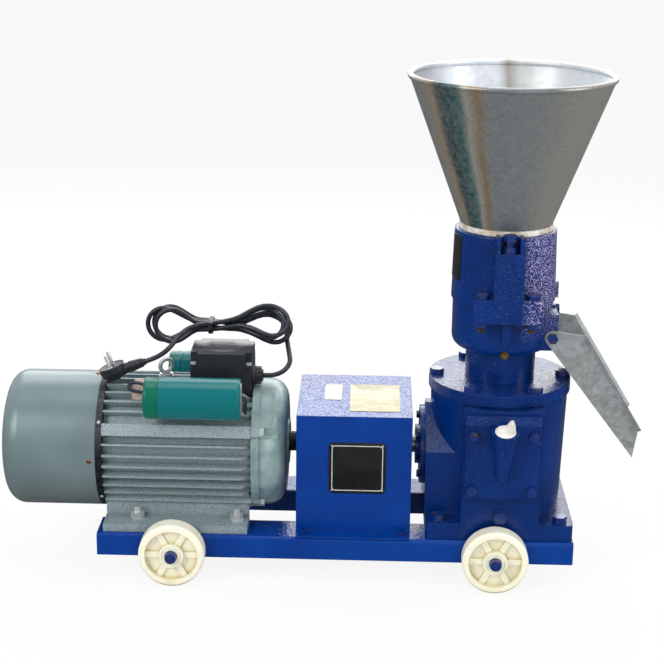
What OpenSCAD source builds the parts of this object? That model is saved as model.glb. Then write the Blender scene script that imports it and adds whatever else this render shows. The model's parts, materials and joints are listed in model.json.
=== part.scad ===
// Flat-die feed pellet mill on a wheeled chassis, driven by a single-phase foot motor.
// X runs along the machine (motor at -X), -Y faces the inspection cover, Z is up from the floor.

/* [Layout] */
// Distance from the mill's axis to the motor's drive-end foot bolts
motor_offset = 365; // [355:1:400]
// Height of the motor shaft above the motor's feet
axis_h = 100; // [98:1:108]

/* [Chassis] */
// Length of the two channel rails
rail_len = 661; // [640:1:720]
// Width of one rail
rail_w = 61; // [56:1:66]
// Height of one rail
rail_h = 32; // [28:1:34]
// Wall of the rail's channel
rail_t = 4; // [3:0.5:5]
// Clear gap between the rails
rail_gap = 104; // [98:1:108]
// How far the rails run on past the mill's axis
rail_overhang = 103; // [103:1:130]

/* [Wheels] */
// Outer diameter of a wheel
wheel_d = 91; // [84:1:110]
// Width of a wheel
wheel_w = 26; // [22:1:32]
// Distance between the two axles
wheelbase = 445; // [400:1:460]
// Number of spokes in a wheel
spokes = 6; // [4:1:8]

/* [Motor] */
// Length of the finned frame
frame_len = 206; // [200:1:230]
// Radius over the cooling fins
fin_r = 96; // [94:0.5:98]
// Thickness of one fin
fin_t = 3; // [2:0.25:4]
// Length of the fan cover
cover_len = 133; // [115:1:150]
// Diameter of the motor shaft at the coupling
shaft_d = 28; // [24:1:28]
// Spacing of the foot bolts along the motor
foot_b = 140; // [130:1:150]

/* [Capacitors] */
// Diameter of the start capacitor
start_cap_d = 58; // [50:1:60]
// Length of the start capacitor
start_cap_len = 132; // [100:1:140]
// Diameter of the run capacitor
run_cap_d = 50; // [44:1:54]
// Length of the run capacitor
run_cap_len = 120; // [100:1:130]

/* [Gearbox] */
// Radius of the round flange on top of the gearbox
flange_r = 99; // [98:0.5:102]
// Thickness of the round flange
flange_t = 16; // [12:1:20]
// Height of the flange's top above the rails
flange_h = 208; // [206:1:225]
// Module of the bevel gears
gear_module = 3.5; // [3.3:0.05:3.6]
// Teeth of the bevel pinion
pinion_teeth = 12; // [12:1:12]
// Teeth of the bevel gear
gear_teeth = 36; // [36:1:36]

/* [Pelleting head] */
// Diameter of the flat die
die_d = 120; // [116:1:121]
// Thickness of the flat die
die_t = 20; // [18:1:24]
// Diameter of the pellet holes
pellet_d = 5; // [3:0.5:6]
// Outer radius of the pelleting chamber
chamber_r = 72; // [70:0.5:75]
// Height of the lower chamber, floor to joint
lower_h = 70; // [68:1:80]
// Height of the upper chamber
upper_h = 99; // [98:1:110]
// Radius of a press roller
roller_r = 29; // [27:0.5:29]
// Length of a press roller
roller_len = 32; // [28:1:32]
// Lift of the rollers that the adjusting screws allow
roller_lift = 4; // [3:0.5:5]

/* [Hopper] */
// Radius of the hopper's mouth
hopper_r = 138; // [120:1:150]
// Height of the hopper's cone
hopper_h = 198; // [170:1:230]
// Sheet thickness of the hopper
hopper_t = 1.2; // [1:0.1:2]

/* [Chute] */
// Reach of the chute past its pivot bolts
chute_reach = 125; // [110:1:150]
// Drop of the chute's lower corner below its pivot bolts
chute_drop = 172; // [160:1:185]
// Sheet thickness of the chute
chute_t = 1.2; // [1:0.1:1.5]

/* [Power cord] */
// Diameter of the cord
cord_d = 7; // [6.5:0.1:7.2]

/* [Hidden] */
$fn = 48;

// Colours
BLUE = "#0A3A8C";
BLUE_DARK = "#0A2F74";
MOTOR_GREY = "#7C8F93";
COVER_GREY = "#8A9A9B";
ZINC = "#B9BEC2";
STEEL = "#8D9296";
DARK_STEEL = "#55585C";
NYLON = "#F1F0D0";
TEAL = "#00706F";
BLACK = "#23252E";
CORD = "#1B1C20";
BRASS = "#C9A24A";
COPPER = "#B06A3A";
GALVANISED = "#A9B1B4";
WHITE = "#E9E8E2";

// Shared clearances and overruns
cut = 1;            // overrun of a cut through a wall
run_fit = 0.05;     // radial clearance of a shaft in its bearing
seat_fit = 0.02;    // radial clearance of a ring in its seat
bolt_fit = 0.5;     // radial clearance of a bolt in a plain hole
gap = 0.3;          // running gap between neighbours
arc_n = 5;          // steps in one rounded corner of a profile

// Fastener sizes: [diameter, across flats, head height]
M6 = [6, 10, 4];
M8 = [8, 13, 5.5];
M10 = [10, 17, 7];
M12 = [12, 18, 7.5];

// Chassis
rail_r = 5;
rail_y = rail_gap/2 + rail_w/2;
rail_out = rail_gap/2 + rail_w;
axle_drop = 19;
wheel_r = wheel_d/2;
rail_top = wheel_r + axle_drop;
rail_x0 = rail_overhang - rail_len;
cross_w = 50;
cross_inset = 120;

// Wheels and axles, measured from the mill's axis
wheel_setback = 6;
wheel_gap = 3;
axle_r = 10;
axle_thread = 6;
rim_t = 9;
hub_r = 17;
hub_recess_r = 13;
hub_recess = 5;
spoke_w = 9;
spoke_t = 14;
ring_t = 1.5;
collar_r = 14;
axle_nut_h = 8;
wheel_bevel = 3;

// Motor, measured from the drive-end foot bolts and the shaft's axis
shaft_z = rail_top + axis_h;
fin_h = 13;
barrel_r = fin_r - fin_h;
core_r = barrel_r - 5.5;
fin_root = 1;
fin_step = 9.5;
fin_first = -33;
fin_last = 213;
fin_taper = 14;
frame_fore = 20;
frame_x0 = frame_fore - frame_len;
lug_w = 17;
lug_r = fin_r + 2;
ear_angles = [27, 132, 207, 312];
ear_t = 12;
ear_bolt_r = fin_r - 5;
foot_a = 160;
foot_t = 11.5;
foot_out = 105;
foot_in = 58;
foot_riser = 10;
foot_margin = 16;
foot_over = 45;
saddle_z = barrel_r - 15;
eye_thread = 12;
shield_r = fin_r - 3;
shield_len = 47;
shield_rim = 11;
shield_round = 26;
shield_t = 6;
shield_hub_r = 31;
shield_hub = 3;
spigot = 6;
de_face = frame_fore + shield_len;
hub_face = de_face + shield_hub;
fan_shield_t = 9;
fan_lip = 10;
cover_t = 1.5;
cover_round = 24;
cover_x1 = frame_x0 - fan_shield_t;
cover_x0 = cover_x1 - cover_len;
slot_w = 6;
slot_pitch = 13;
slot_rings = 4;
slot_first = 20;
slot_web = 7;
slot_webs = 6;
motor_bearing_or = 31;
motor_bearing_ir = 15;
motor_bearing_w = 16;
de_bearing_x = frame_fore + 22;
nde_bearing_x = frame_x0 + 1;
core_len = frame_len - 86;
core_mid = frame_fore - frame_len/2;
rotor_r = core_r - 29;
air_gap = 0.5;
winding_r = core_r - 5.5;
winding_len = 26;
fan_r = fin_r - 12;
fan_hub_r = 24;
fan_bore = 12;
fan_w = 28;
fan_blade_t = 2.5;
fan_blades = 8;
fan_gap = 12;
reach_left = motor_offset - cover_x0;

// Terminal box
box_len = 86;
box_w = 72;
box_x1 = frame_fore - 2;
box_base_z = barrel_r - 4;
box_base_h = 42;
lid_h = 19;
box_t = 3;
notch = 9;
lid_screw_d = 5;
lid_screw_head = 8.5;
gland_r = 12.5;
gland_len = 15;
gland_nut_r = 13.5;
gland_nut_t = 5;
gland_drop = 27;       // height of the gland's middle above the box's floor
gland_y = -22;
eye_x = -106;
eye_wire = 3;
eye_ring = 9.5;
eye_collar_r = 9;
eye_collar_h = 3;
eye_turn = 38;
top_boss_r = 11;

// Capacitors: bearing around the motor, measured up from the horizontal
start_cap_angle = 47;
run_cap_angle = 38;
cap_x1 = frame_fore - 13;
cap_end = 21;
cap_round = 4;
cradle_w = 8;
cradle_len = 60;
cradle_h = fin_r - barrel_r;

// Gearbox, measured from the mill's axis
base_x = 102;
base_y = 107;
base_t = 24;
base_corner = 8;
foot_x = 84;
foot_y = 93;
body_top_r = flange_r - 3;
body_low_r = body_top_r - 5;
cavity_r = body_top_r - 16;
floor_t = 5;
flange_top = rail_top + flange_h;
flange_low = flange_top - flange_t;
bolt_circle = 88;
flange_bolts = 6;
ext_y = 70;
ext_wall_h = 14;
ext_ridge_h = 66;
ext_reach = body_top_r + 7;
in_boss_gap = 4;
cap_bolt_r = 46;
cap_bolt_hold = 10;
cover_bolt_hold = 14;
flange_bolt_hold = 14;
boss_r = 36;
pad_x = 54;
pad_drop = 2;
cover_x = 51;
cover_h = 118;
cover_low_h = 66;
cover_plate_t = 9;
cover_bevel = 11;
cover_bolt_x = 41;
cover_bolt_z = 12;
cover_bolt_top = 26;
window_x = 28;
window_h = 70;
cap_r1 = 56;
cap_r2 = 48;
cap_t1 = 7;
cap_t2 = 6;
spout_tilt = 17.8;
spout_r0 = 10;
spout_r1 = 18.5;
spout_len = 82;
spout_base_h = 29;
spout_bore = 9;
spout_in_y = 5;
spout_inner_y = 12;
spout_bottom = 18;
plug_r = 13;
plug_depth = 12;
plug_head_r = 14.5;
plug_head_t = 5;
wing_t = 3.5;
wing_h = 12;
drain_h = 12;

// Bevel pair: both cones meet at the crossing of the two axes
pinion_angle = atan(pinion_teeth/gear_teeth);
gear_angle = 90 - pinion_angle;
pinion_pr = gear_module*pinion_teeth/2;
gear_pr = gear_module*gear_teeth/2;
cone_len = norm([pinion_pr, gear_pr]);
face_w = 19;
addendum = gear_module*0.9;
dedendum = gear_module*1.15;
tooth_share = 0.38;         // share of the pitch that a tooth fills
gear_rim = 6;
gear_hub_r = 26;
gear_hub_h = 12;
gear_shaft_r = 15;

// Shafts and rolling bearings of the gearbox
in_r = 12.5;
in_bearing_or = 26;
in_bearing_w = 15;
in_bearing_x = -ext_reach + 2;
low_bearing_w = 15;
floor_z = rail_top + base_t + floor_t;
up_r = 17.5;
up_bearing_or = 36;
up_bearing_w = 17;
up_hub_r = 44;
up_hub_h = 9;
shoulder_r = 19.5;

// Coupling
cap_face = -(ext_reach + cap_t1 + cap_t2);
motor_face = hub_face - motor_offset;
couple_x = (cap_face + motor_face)/2;
hub_len = 40;
hub_out_r = 46;
hub_neck_r = 30;
hub_neck = 18;
jaw_len = 18;
jaw_in_r = 20;
jaws = 3;
lobe_half = 11;
jaw_gap = 1;
shaft_hold = 30;

// Guard
guard_y = 88;
guard_h = 171;
guard_t = 2;
guard_gap_motor = 13;
guard_gap_mill = 6.5;
guard_x0 = motor_face + guard_gap_motor;
guard_x1 = cap_face - guard_gap_mill;
guard_slot_r = 20;
guard_bolt_inset = 12;

// Pelleting head
neck_r = 48.5;
neck_h = 44;
neck_in_r = 41;
neck_lip = 3;
register_h = 4;
chamber_z0 = flange_top + neck_h;
joint_z = chamber_z0 + lower_h;
chamber_top = joint_z + upper_h;
lower_step = 2.5;
lower_r = chamber_r - lower_step;
die_gap = 1.5;
chamber_in_r = die_d/2 + die_gap;
draft = 2.5;
chamber_round = 15;
floor_h = 8;
die_z0 = joint_z - 10.5;
die_top = die_z0 + die_t;
hole_rings = 3;
hole_first = 28;
hole_pitch = 9;
holes_per_ring = 24;
die_flange_r = 24;
die_flange_t = 10;
die_nut_h = 10;
die_nut_af = 32;
die_bore_r = 15;
die_stud_r = 10;
centre_drill_r = 3;
roller_y0 = 20;
roller_shaft_r = 12.5;
roller_z = die_top + gap + roller_r;
flutes = 30;
flute_depth = 2;
roller_recess_r = 20;
roller_recess = 3;
collar_out_r = 16;
head_y = 90;
boss_x = 20;
boss_wall = 5;
boss_h = 82;
ear_h = 21;
ear_x = 18.5;
ear_back = 1;
pocket_x = 13;
screw_y = 80;
screw_r = 6;
screw_head = 7.5;
screw_free = 8;
lock_h = 8;
lug_x = 46;
lug_up = 18;
lug_low = 15;
lug_round = 10;
bolt_pocket = 1.5;
lug_y = 50;
lug_bolt_x = 34;
lug_bolt_y = 77.5;
rib_x = 6;
rib_y = 80;
rib_h = 32;
spout_x = 73;
spout_y = 48;
spout_z0_h = 6.5;
spout_h = 51;
spout_t = 6;
nipple_h = 4;
nipple_y = 65;
nipple_r = 6;
nipple_len = 9;
knife_t = 3;
knife_y = 9;
knife_x0 = 25.5;
knife_bolt_h = 52.5;
knife_bolt_x = 76;
side_ear_y = 8;
side_ear_h = 22;

// Hopper
hopper_low_r = chamber_in_r + 0.5;
collar_h = 7.5;
collar_lip = 3;
ear_in_y = hopper_low_r + collar_lip + gap;
spigot_h = 8;
bead_r = 4;

// Discharge chute, measured from its pivot bolts
pivot_x = 66;
pivot_h = 25;
pivot_z = chamber_z0 + pivot_h;
chute_end_r = 10.5;
chute_end_from = 215;
chute_end_to = 75;
chute_corner_x = 41;
chute_corner_z = 4.4;
chute_tip_up = 39;
chute_tip_in = 6;
chute_gap = 0.4;
chute_floor_x = 5;
chute_lip = 6;
chute_lip_out = 4;
chute_y = spout_y + chute_gap;
chute_a = [chute_corner_x, chute_corner_z];
chute_b = [chute_reach, chute_tip_up - chute_drop];
chute_edge = norm(chute_b - chute_a);
reach_right = pivot_x + chute_reach + (chute_lip - chute_t)*(chute_a[1] - chute_b[1])/chute_edge;

// The mill's axis lies where the middle of the whole machine comes out at x = 0
x_mill = (reach_left - reach_right)/2;
x_motor = x_mill - motor_offset;

// The same across the machine: its front reaches the filler spout, its rear the wheels
rear_reach = rail_out + wheel_gap + wheel_w;
front_reach = max(rear_reach,
    base_y + spout_in_y + spout_r1*cos(spout_tilt) + spout_len*sin(spout_tilt));
y_mid = (front_reach - rear_reach)/2;

// Power cord, measured like the motor: from the gland over the lid in a tied hank to the plug
cord_r = cord_d/2;
cord_sides = 8;
hank_sides = 6;
exit_x = box_x1 + gland_len;
exit_z = box_base_z + gland_drop;
lead_out = 42;         // straight on towards the mill before the lead turns up
lead_in = 16;          // length of the lead's last straight, before the hank
lead_bend = 29;
bend_n = 6;            // steps in one bend of the lead
tail_handle = 46;      // length of the handles of the tail's curve
tail_n = 10;           // steps in the tail's curve

// Hank: loops seen along their lane, each lane a step in front of the last
hank_x = -48;
hank_y = 37;
hank_up = 20;          // height of its middle above the lid
hank_right = [110, 116, 106, 113];
hank_left = [80, 88, 76, 84];
right_r = 24.5;        // radius of the bend at each end
left_r = 23.5;
right_tuck = 6;        // degrees that a bend turns past its half circle
left_tuck = 23;
right_flat = 35;       // length of the run that lies at the waist
left_flat = 13;
waist = 4.4;           // half the height of a loop at the waist
lane = 8.1;            // distance between neighbouring lanes
lean_left = 90;        // lean of the loops, in degrees from level
lean_right = 40;
lean_from = -18;
lean_run = 90;
lift = 5;              // rise of the loops over the lid's end
lift_from = 18;
lift_run = 58;
droop = 5;             // fall of their free right ends
droop_from = 60;
droop_run = 46;
quarters = 13;         // quarter loops from end to end
quarter_n = 6;         // rings in a quarter loop

// Mains plug at the tail's end
plug_x = -180;
plug_y = -25;
plug_up = 20.7;        // height of its face's middle above the fins
plug_tilt = 20.9;
plug_face_r = 18.5;
plug_back_r = 11;
plug_t = 19.5;
relief_z = -10.4;
relief_len = 48;
relief_r0 = 7.5;
relief_r1 = 5;
relief_ring = 4;
pin_r = 2.4;
pin_len = 19;
pin_gap = 9.5;

// Mirrors children across the middle plane where side is -1
module flip_y(side) if (side < 0) mirror([0, 1, 0]) children(); else children();

module at_mill() translate([x_mill, y_mid, 0]) children();
module at_motor() translate([x_motor, y_mid, shaft_z]) children();

// A profile drawn in (y, z) and drawn out along +X
module along_x(length) rotate([90, 0, 90]) linear_extrude(length) children();

// A profile drawn in (x, z) and drawn out along +Y
module along_y(length) translate([0, length, 0]) rotate([90, 0, 0]) linear_extrude(length) children();

module rod_x(r, length) rotate([0, 90, 0]) cylinder(r = r, h = length);
module rod_y(r, length) rotate([-90, 0, 0]) cylinder(r = r, h = length);

// A profile drawn in (radius, x) and turned about the X axis
module turned_x() rotate([0, 90, 0]) rotate_extrude() children();

function arc(cx, cy, r, a0, a1, n = arc_n) =
    [for (i = [0:n]) [cx + r*cos(a0 + (a1 - a0)*i/n), cy + r*sin(a0 + (a1 - a0)*i/n)]];

function round_rect(x, y, r) = concat(
    arc(x - r, y - r, r, 0, 90), arc(r - x, y - r, r, 90, 180),
    arc(r - x, r - y, r, 180, 270), arc(x - r, r - y, r, 270, 360));

module hex(af, h) cylinder(d = af/cos(30), h = h, $fn = 6);

// Bolt with its head on z = 0 and its shank down
module bolt(size, length) {
    hex(size[1], size[2]);
    translate([0, 0, -length]) cylinder(d = size[0], h = length);
}

// Nut that stands on z = 0 round a bolt of the same size
module nut(size, h) difference() {
    hex(size[1], h);
    translate([0, 0, -cut]) cylinder(d = size[0] + 2*run_fit, h = h + 2*cut);
}

// Chassis

module rail() {
    inner_r = rail_r - rail_t/2;
    h = rail_h;
    w = rail_w/2;
    translate([rail_x0, 0, rail_top - rail_h]) along_x(rail_len) polygon(concat(
        [[-w, 0]], arc(rail_r - w, h - rail_r, rail_r, 180, 90),
        arc(w - rail_r, h - rail_r, rail_r, 90, 0), [[w, 0], [w - rail_t, 0]],
        arc(w - rail_t - inner_r, h - rail_t - inner_r, inner_r, 0, 90),
        arc(rail_t + inner_r - w, h - rail_t - inner_r, inner_r, 90, 180), [[rail_t - w, 0]]));
}

module chassis_rails() color(BLUE) at_mill() difference() {
    for (s = [-1, 1]) translate([0, s*rail_y, 0]) rail();
    for (s = [-1, 1]) {
        for (x = [0, -foot_b]) rail_hole(x - motor_offset, s*foot_a/2, M10);
        for (x = [-foot_x, foot_x]) rail_hole(x, s*foot_y, M10);
        for (x = guard_bolt_xs()) rail_hole(x, s*guard_bolt_y(), M6);
        for (x = axle_xs()) translate([x, s*(rail_out - rail_t/2), wheel_r])
            translate([0, -rail_t, 0]) rod_y(axle_thread + bolt_fit, 2*rail_t);
    }
}

module rail_hole(x, y, size)
    translate([x, y, rail_top - rail_t - cut]) cylinder(r = size[0]/2 + bolt_fit, h = rail_t + 2*cut);

function axle_xs() = [-wheel_setback - wheelbase, -wheel_setback];
function guard_bolt_xs() = [guard_x0 + guard_bolt_inset, guard_x1 - guard_bolt_inset];
function guard_bolt_y() = (guard_y + rail_out)/2;

module cross_members() color(BLUE) at_mill()
    for (x = [rail_x0 + cross_inset, rail_overhang - cross_inset])
        translate([x - cross_w/2, -rail_gap/2, 0]) along_y(rail_gap) polygon([
            [0, rail_top - rail_h], [0, rail_top], [cross_w, rail_top], [cross_w, rail_top - rail_h],
            [cross_w - rail_t, rail_top - rail_h], [cross_w - rail_t, rail_top - rail_t],
            [rail_t, rail_top - rail_t], [rail_t, rail_top - rail_h]]);

// Spoked nylon wheel, its inner face on y = 0 and its axis along Y
module wheel() difference() {
    union() {
        rotate([-90, 0, 0]) rotate_extrude() polygon([
            [wheel_r - rim_t, 0], [wheel_r - wheel_bevel, 0], [wheel_r, wheel_bevel],
            [wheel_r, wheel_w - wheel_bevel], [wheel_r - wheel_bevel, wheel_w],
            [wheel_r - rim_t, wheel_w]]);
        rod_y(hub_r, wheel_w);
        for (i = [0:spokes - 1]) rotate([0, i*360/spokes, 0])
            translate([hub_r - rim_t/2, (wheel_w - spoke_t)/2, -spoke_w/2])
                cube([wheel_r - hub_r - rim_t/4, spoke_t, spoke_w]);
    }
    translate([0, -cut, 0]) rod_y(axle_r + run_fit, wheel_w + 2*cut);
    translate([0, wheel_w - hub_recess, 0]) rod_y(hub_recess_r, hub_recess + cut);
}

// Puts children at an axle: side is -1 at the front and 1 at the rear
module at_axle(x, side) at_mill() translate([x, side*rail_out, wheel_r])
    flip_y(side) children();

module placed_wheel(x, side) color(NYLON) at_axle(x, side) translate([0, wheel_gap, 0]) wheel();

module wheel_motor_front() placed_wheel(axle_xs()[0], -1);
module wheel_motor_rear() placed_wheel(axle_xs()[0], 1);
module wheel_mill_front() placed_wheel(axle_xs()[1], -1);
module wheel_mill_rear() placed_wheel(axle_xs()[1], 1);

module axle_pin() {
    washer = wheel_gap - gap;
    floor_y = wheel_gap + wheel_w - hub_recess;
    rod_y(collar_r, washer);
    rod_y(axle_r, floor_y + gap + ring_t);
    translate([0, floor_y + gap, 0]) rod_y(hub_recess_r - run_fit*8, ring_t);
    translate([0, -rail_t - axle_nut_h - rail_t/2, 0]) rod_y(axle_thread, rail_t*2 + axle_nut_h);
    translate([0, -rail_t, 0]) rotate([90, 0, 0]) nut([2*axle_thread, M12[1], 0], axle_nut_h);
}

module axle_pins() color(BLUE_DARK)
    for (x = axle_xs(), side = [-1, 1]) at_axle(x, side) axle_pin();

// Motor

module at_ear(angle) rotate([-angle, 0, 0]) translate([0, -ear_bolt_r, 0]) children();

module barrel_profile() {
    circle(barrel_r);
    for (a = ear_angles) rotate(180 - a)
        translate([barrel_r - fin_root, -lug_w/2]) square([lug_r - barrel_r + fin_root, lug_w]);
}

// Fins stand between the lugs, from the front foot over the top to the rear foot
function fin_angles() = [for (a = [fin_first:fin_step:fin_last])
    if (min([for (e = ear_angles) abs(e - a)]) > fin_step*0.8) a];

module fin_profile() for (a = fin_angles()) rotate(180 - a)
    translate([barrel_r - fin_root, -fin_t/2]) square([fin_r - barrel_r + fin_root, fin_t]);

module foot_profile() for (s = [0, 1]) mirror([s, 0]) {
    translate([foot_in, -axis_h]) square([foot_out - foot_in, foot_t]);
    polygon([[foot_in, foot_t - axis_h - fin_root], [foot_in + foot_riser + fin_root,
        foot_t - axis_h - fin_root],
             [foot_in + foot_riser/2, -barrel_r/2], [foot_in, -barrel_r/2 - foot_riser/2]]);
}

module motor_frame() color(MOTOR_GREY) at_motor() difference() {
    union() {
        translate([frame_x0, 0, 0]) along_x(frame_len) barrel_profile();
        translate([frame_x0, 0, 0]) intersection() {
            along_x(frame_len) fin_profile();
            turned_x() polygon([[0, 0], [lug_r, 0], [lug_r, frame_len - fin_taper],
                                [barrel_r, frame_len], [0, frame_len]]);
        }
        translate([-foot_b - foot_over, 0, 0]) along_x(foot_b + foot_over + foot_margin) foot_profile();
        translate([box_x1 - box_len + box_t, -box_w/2 + box_t, saddle_z])
            cube([box_len - 2*box_t, box_w - 2*box_t, box_base_z - saddle_z]);
        translate([eye_x, 0, saddle_z]) cylinder(r = top_boss_r, h = fin_r - saddle_z);
    }
    translate([frame_x0 - cut, 0, 0]) rod_x(core_r + seat_fit, frame_len + 2*cut);
    for (a = ear_angles, x = [frame_x0 - cut, frame_fore - 2*lug_w]) at_ear(a)
        translate([x, 0, 0]) rod_x(M8[0]/2 + run_fit, 2*lug_w + cut);
    for (x = [0, -foot_b], s = [-1, 1])
        translate([x, s*foot_a/2, -axis_h - cut]) cylinder(r = M10[0]/2 + bolt_fit, h = foot_t + foot_riser);
    translate([eye_x, 0, fin_r - eye_thread]) cylinder(r = M8[0]/2 + run_fit, h = eye_thread + cut);
    translate([box_x1 - box_len - gap, -box_w/2 - gap, box_base_z])
        cube([box_len + frame_fore - box_x1 + gap + cut, box_w + 2*gap, box_base_z]);
}

module drive_end_shield() color(MOTOR_GREY) at_motor() difference() {
    union() {
        translate([frame_fore, 0, 0]) turned_x() polygon(concat(
            [[0, -spigot], [core_r - run_fit, -spigot], [core_r - run_fit, 0], [shield_r, 0],
             [shield_r, shield_rim], [shield_r - shield_hub, shield_rim]],
            arc(shield_r - shield_hub - shield_round, shield_len - shield_round, shield_round, 0, 90, 8),
            [[shield_hub_r, shield_len], [shield_hub_r, shield_len + shield_hub],
                [0, shield_len + shield_hub]]));
        for (a = ear_angles) at_ear(a)
            translate([frame_fore + gap, 0, 0]) translate([0, -ear_t/2, -ear_t/2 - gap])
                cube([ear_t, ear_t, ear_t + 2*gap]);
    }
    translate([frame_fore - spigot - cut, 0, 0]) turned_x() polygon(concat(
        [[0, 0], [core_r - shield_t, 0], [core_r - shield_t, shield_len - shield_round]],
        arc(shield_r - shield_round - 2*shield_t, shield_len + spigot - shield_round - shield_t + cut,
            shield_round - shield_t, 45, 90, 4),
        [[motor_bearing_or + shield_t, shield_len + spigot - shield_t + cut],
         [motor_bearing_or + shield_t, de_bearing_x - frame_fore + spigot + cut],
         [0, de_bearing_x - frame_fore + spigot + cut]]));
    translate([de_bearing_x - cut, 0, 0]) rod_x(motor_bearing_or + seat_fit, motor_bearing_w + cut);
    rod_x(motor_bearing_ir + fan_blade_t, hub_face + cut);
    for (a = ear_angles) at_ear(a) {
        rod_x(M8[0]/2 + bolt_fit, frame_fore + 2*ear_t);
        translate([frame_fore + gap + ear_t, 0, 0]) rod_x(M8[1]/2/cos(30) + gap, 2*ear_t);
    }
}

module fan_end_shield() color(DARK_STEEL) at_motor() difference() {
    union() {
        translate([frame_x0, 0, 0]) turned_x() polygon([
            [0, spigot], [core_r - run_fit, spigot], [core_r - run_fit, 0], [fin_r, 0],
            [fin_r, -fan_shield_t], [fin_r - cover_t - gap, -fan_shield_t],
            [fin_r - cover_t - gap, -fan_shield_t - fan_lip],
                [fin_r - shield_t - cover_t, -fan_shield_t - fan_lip],
            [fin_r - shield_t - cover_t, -fan_shield_t], [0, -fan_shield_t]]);
        translate([frame_x0, 0, 0]) rod_x(motor_bearing_or + shield_t, motor_bearing_w + 2*cut);
    }
    translate([frame_x0 + cut, 0, 0]) difference() {
        rod_x(core_r - shield_t, spigot);
        translate([-cut, 0, 0]) rod_x(motor_bearing_or + shield_t, spigot + 2*cut);
    }
    translate([nde_bearing_x, 0, 0]) rod_x(motor_bearing_or + seat_fit, motor_bearing_w + 2*cut);
    translate([cover_x1 - cut, 0, 0]) rod_x(motor_bearing_ir + fan_blade_t, fan_shield_t + 3*cut);
    for (a = ear_angles) at_ear(a)
        translate([cover_x1 + 2*cut, 0, 0]) rod_x(M8[0]/2 + bolt_fit, fan_shield_t);
}

module fan_cover() color(COVER_GREY) at_motor() difference() {
    translate([cover_x0, 0, 0]) turned_x() polygon(concat(
        [[0, 0]], arc(fin_r - cover_round, cover_round, cover_round, -90, 0, 8),
        [[fin_r, cover_len], [fin_r - cover_t, cover_len]],
        arc(fin_r - cover_round, cover_round, cover_round - cover_t, 0, -90, 8), [[0, cover_t]]));
    translate([cover_x0 - cut, 0, 0]) along_x(cover_t + 2*cut) difference() {
        for (i = [0:slot_rings - 1]) difference() {
            circle(slot_first + i*slot_pitch + slot_w);
            circle(slot_first + i*slot_pitch);
        }
        for (i = [0:slot_webs - 1]) rotate(i*360/slot_webs) translate([0, -slot_web/2])
            square([fin_r, slot_web]);
    }
}

module cooling_fan() color(BLACK) at_motor() translate([cover_x1 - fan_gap - fan_w, 0, 0]) difference() {
    union() {
        rod_x(fan_hub_r, fan_w);
        translate([fan_w - fan_blade_t, 0, 0]) rod_x(fan_r, fan_blade_t);
        for (i = [0:fan_blades - 1]) rotate([i*360/fan_blades, 0, 0])
            translate([0, fan_hub_r - fan_blade_t, -fan_blade_t/2])
                cube([fan_w, fan_r - fan_hub_r, fan_blade_t]);
    }
    translate([-cut, 0, 0]) rod_x(fan_bore, fan_w + 2*cut);
}

module rotor_shaft() color(STEEL) at_motor() {
    shaft_end = couple_x + motor_offset - hub_len + shaft_hold - jaw_len/2;
    fan_x = cover_x1 - fan_gap - fan_w;
    step_x = de_bearing_x + motor_bearing_w + cut;
    translate([fan_x - cut, 0, 0]) rod_x(fan_bore, cover_x1 - fan_x + 3*cut);
    translate([cover_x1 + cut, 0, 0]) rod_x(motor_bearing_ir, step_x - cover_x1 - cut);
    translate([core_mid - core_len/2, 0, 0]) rod_x(rotor_r, core_len);
    translate([step_x - cut, 0, 0]) rod_x(shaft_d/2, shaft_end - step_x + cut);
}

module stator_core() color(COPPER) at_motor() translate([core_mid - core_len/2, 0, 0]) {
    difference() {
        union() {
            rod_x(core_r, core_len);
            translate([-winding_len, 0, 0]) rod_x(winding_r, core_len + 2*winding_len);
        }
        translate([-winding_len - cut, 0, 0]) rod_x(rotor_r + air_gap, core_len + 2*winding_len + 2*cut);
    }
}

module motor_bearing() difference() {
    rod_x(motor_bearing_or, motor_bearing_w);
    translate([-cut, 0, 0]) rod_x(motor_bearing_ir + run_fit, motor_bearing_w + 2*cut);
}

module motor_bearings() color(STEEL) at_motor()
    for (x = [de_bearing_x, nde_bearing_x + cut]) translate([x, 0, 0]) motor_bearing();

// Bolts that hold the two shields, driven into the frame's lugs
module shield_bolts() color(ZINC) at_motor() for (a = ear_angles) at_ear(a) {
    translate([frame_fore + gap + ear_t, 0, 0]) rotate([0, 90, 0]) bolt(M8, ear_t + lug_w);
    translate([cover_x1 + 2*cut, 0, 0]) rod_x(M8[0]/2, fan_shield_t + lug_w);
}

module motor_foot_bolts() color(ZINC) at_motor()
    for (x = [0, -foot_b], s = [-1, 1]) translate([x, s*foot_a/2, -axis_h]) {
        washer_t = M10[2]/3;
        translate([0, 0, foot_t]) cylinder(d = M10[0]*2, h = washer_t);
        translate([0, 0, foot_t + washer_t]) hex(M10[1], M10[2]);
        translate([0, 0, -rail_t]) cylinder(d = M10[0], h = foot_t + rail_t + washer_t + 2*M10[2]);
        translate([0, 0, -rail_t - M10[2]]) hex(M10[1], M10[2]);
    }

// Terminal box and what sits on the motor's top

module box_shape(h, r) linear_extrude(h) polygon(round_rect(box_len/2, box_w/2, r));

module at_box() at_motor() translate([box_x1 - box_len/2, 0, box_base_z]) children();

module box_corners() for (sx = [-1, 1], sy = [-1, 1])
    translate([sx*(box_len/2 - notch/2), sy*(box_w/2 - notch/2), 0]) children();

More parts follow.
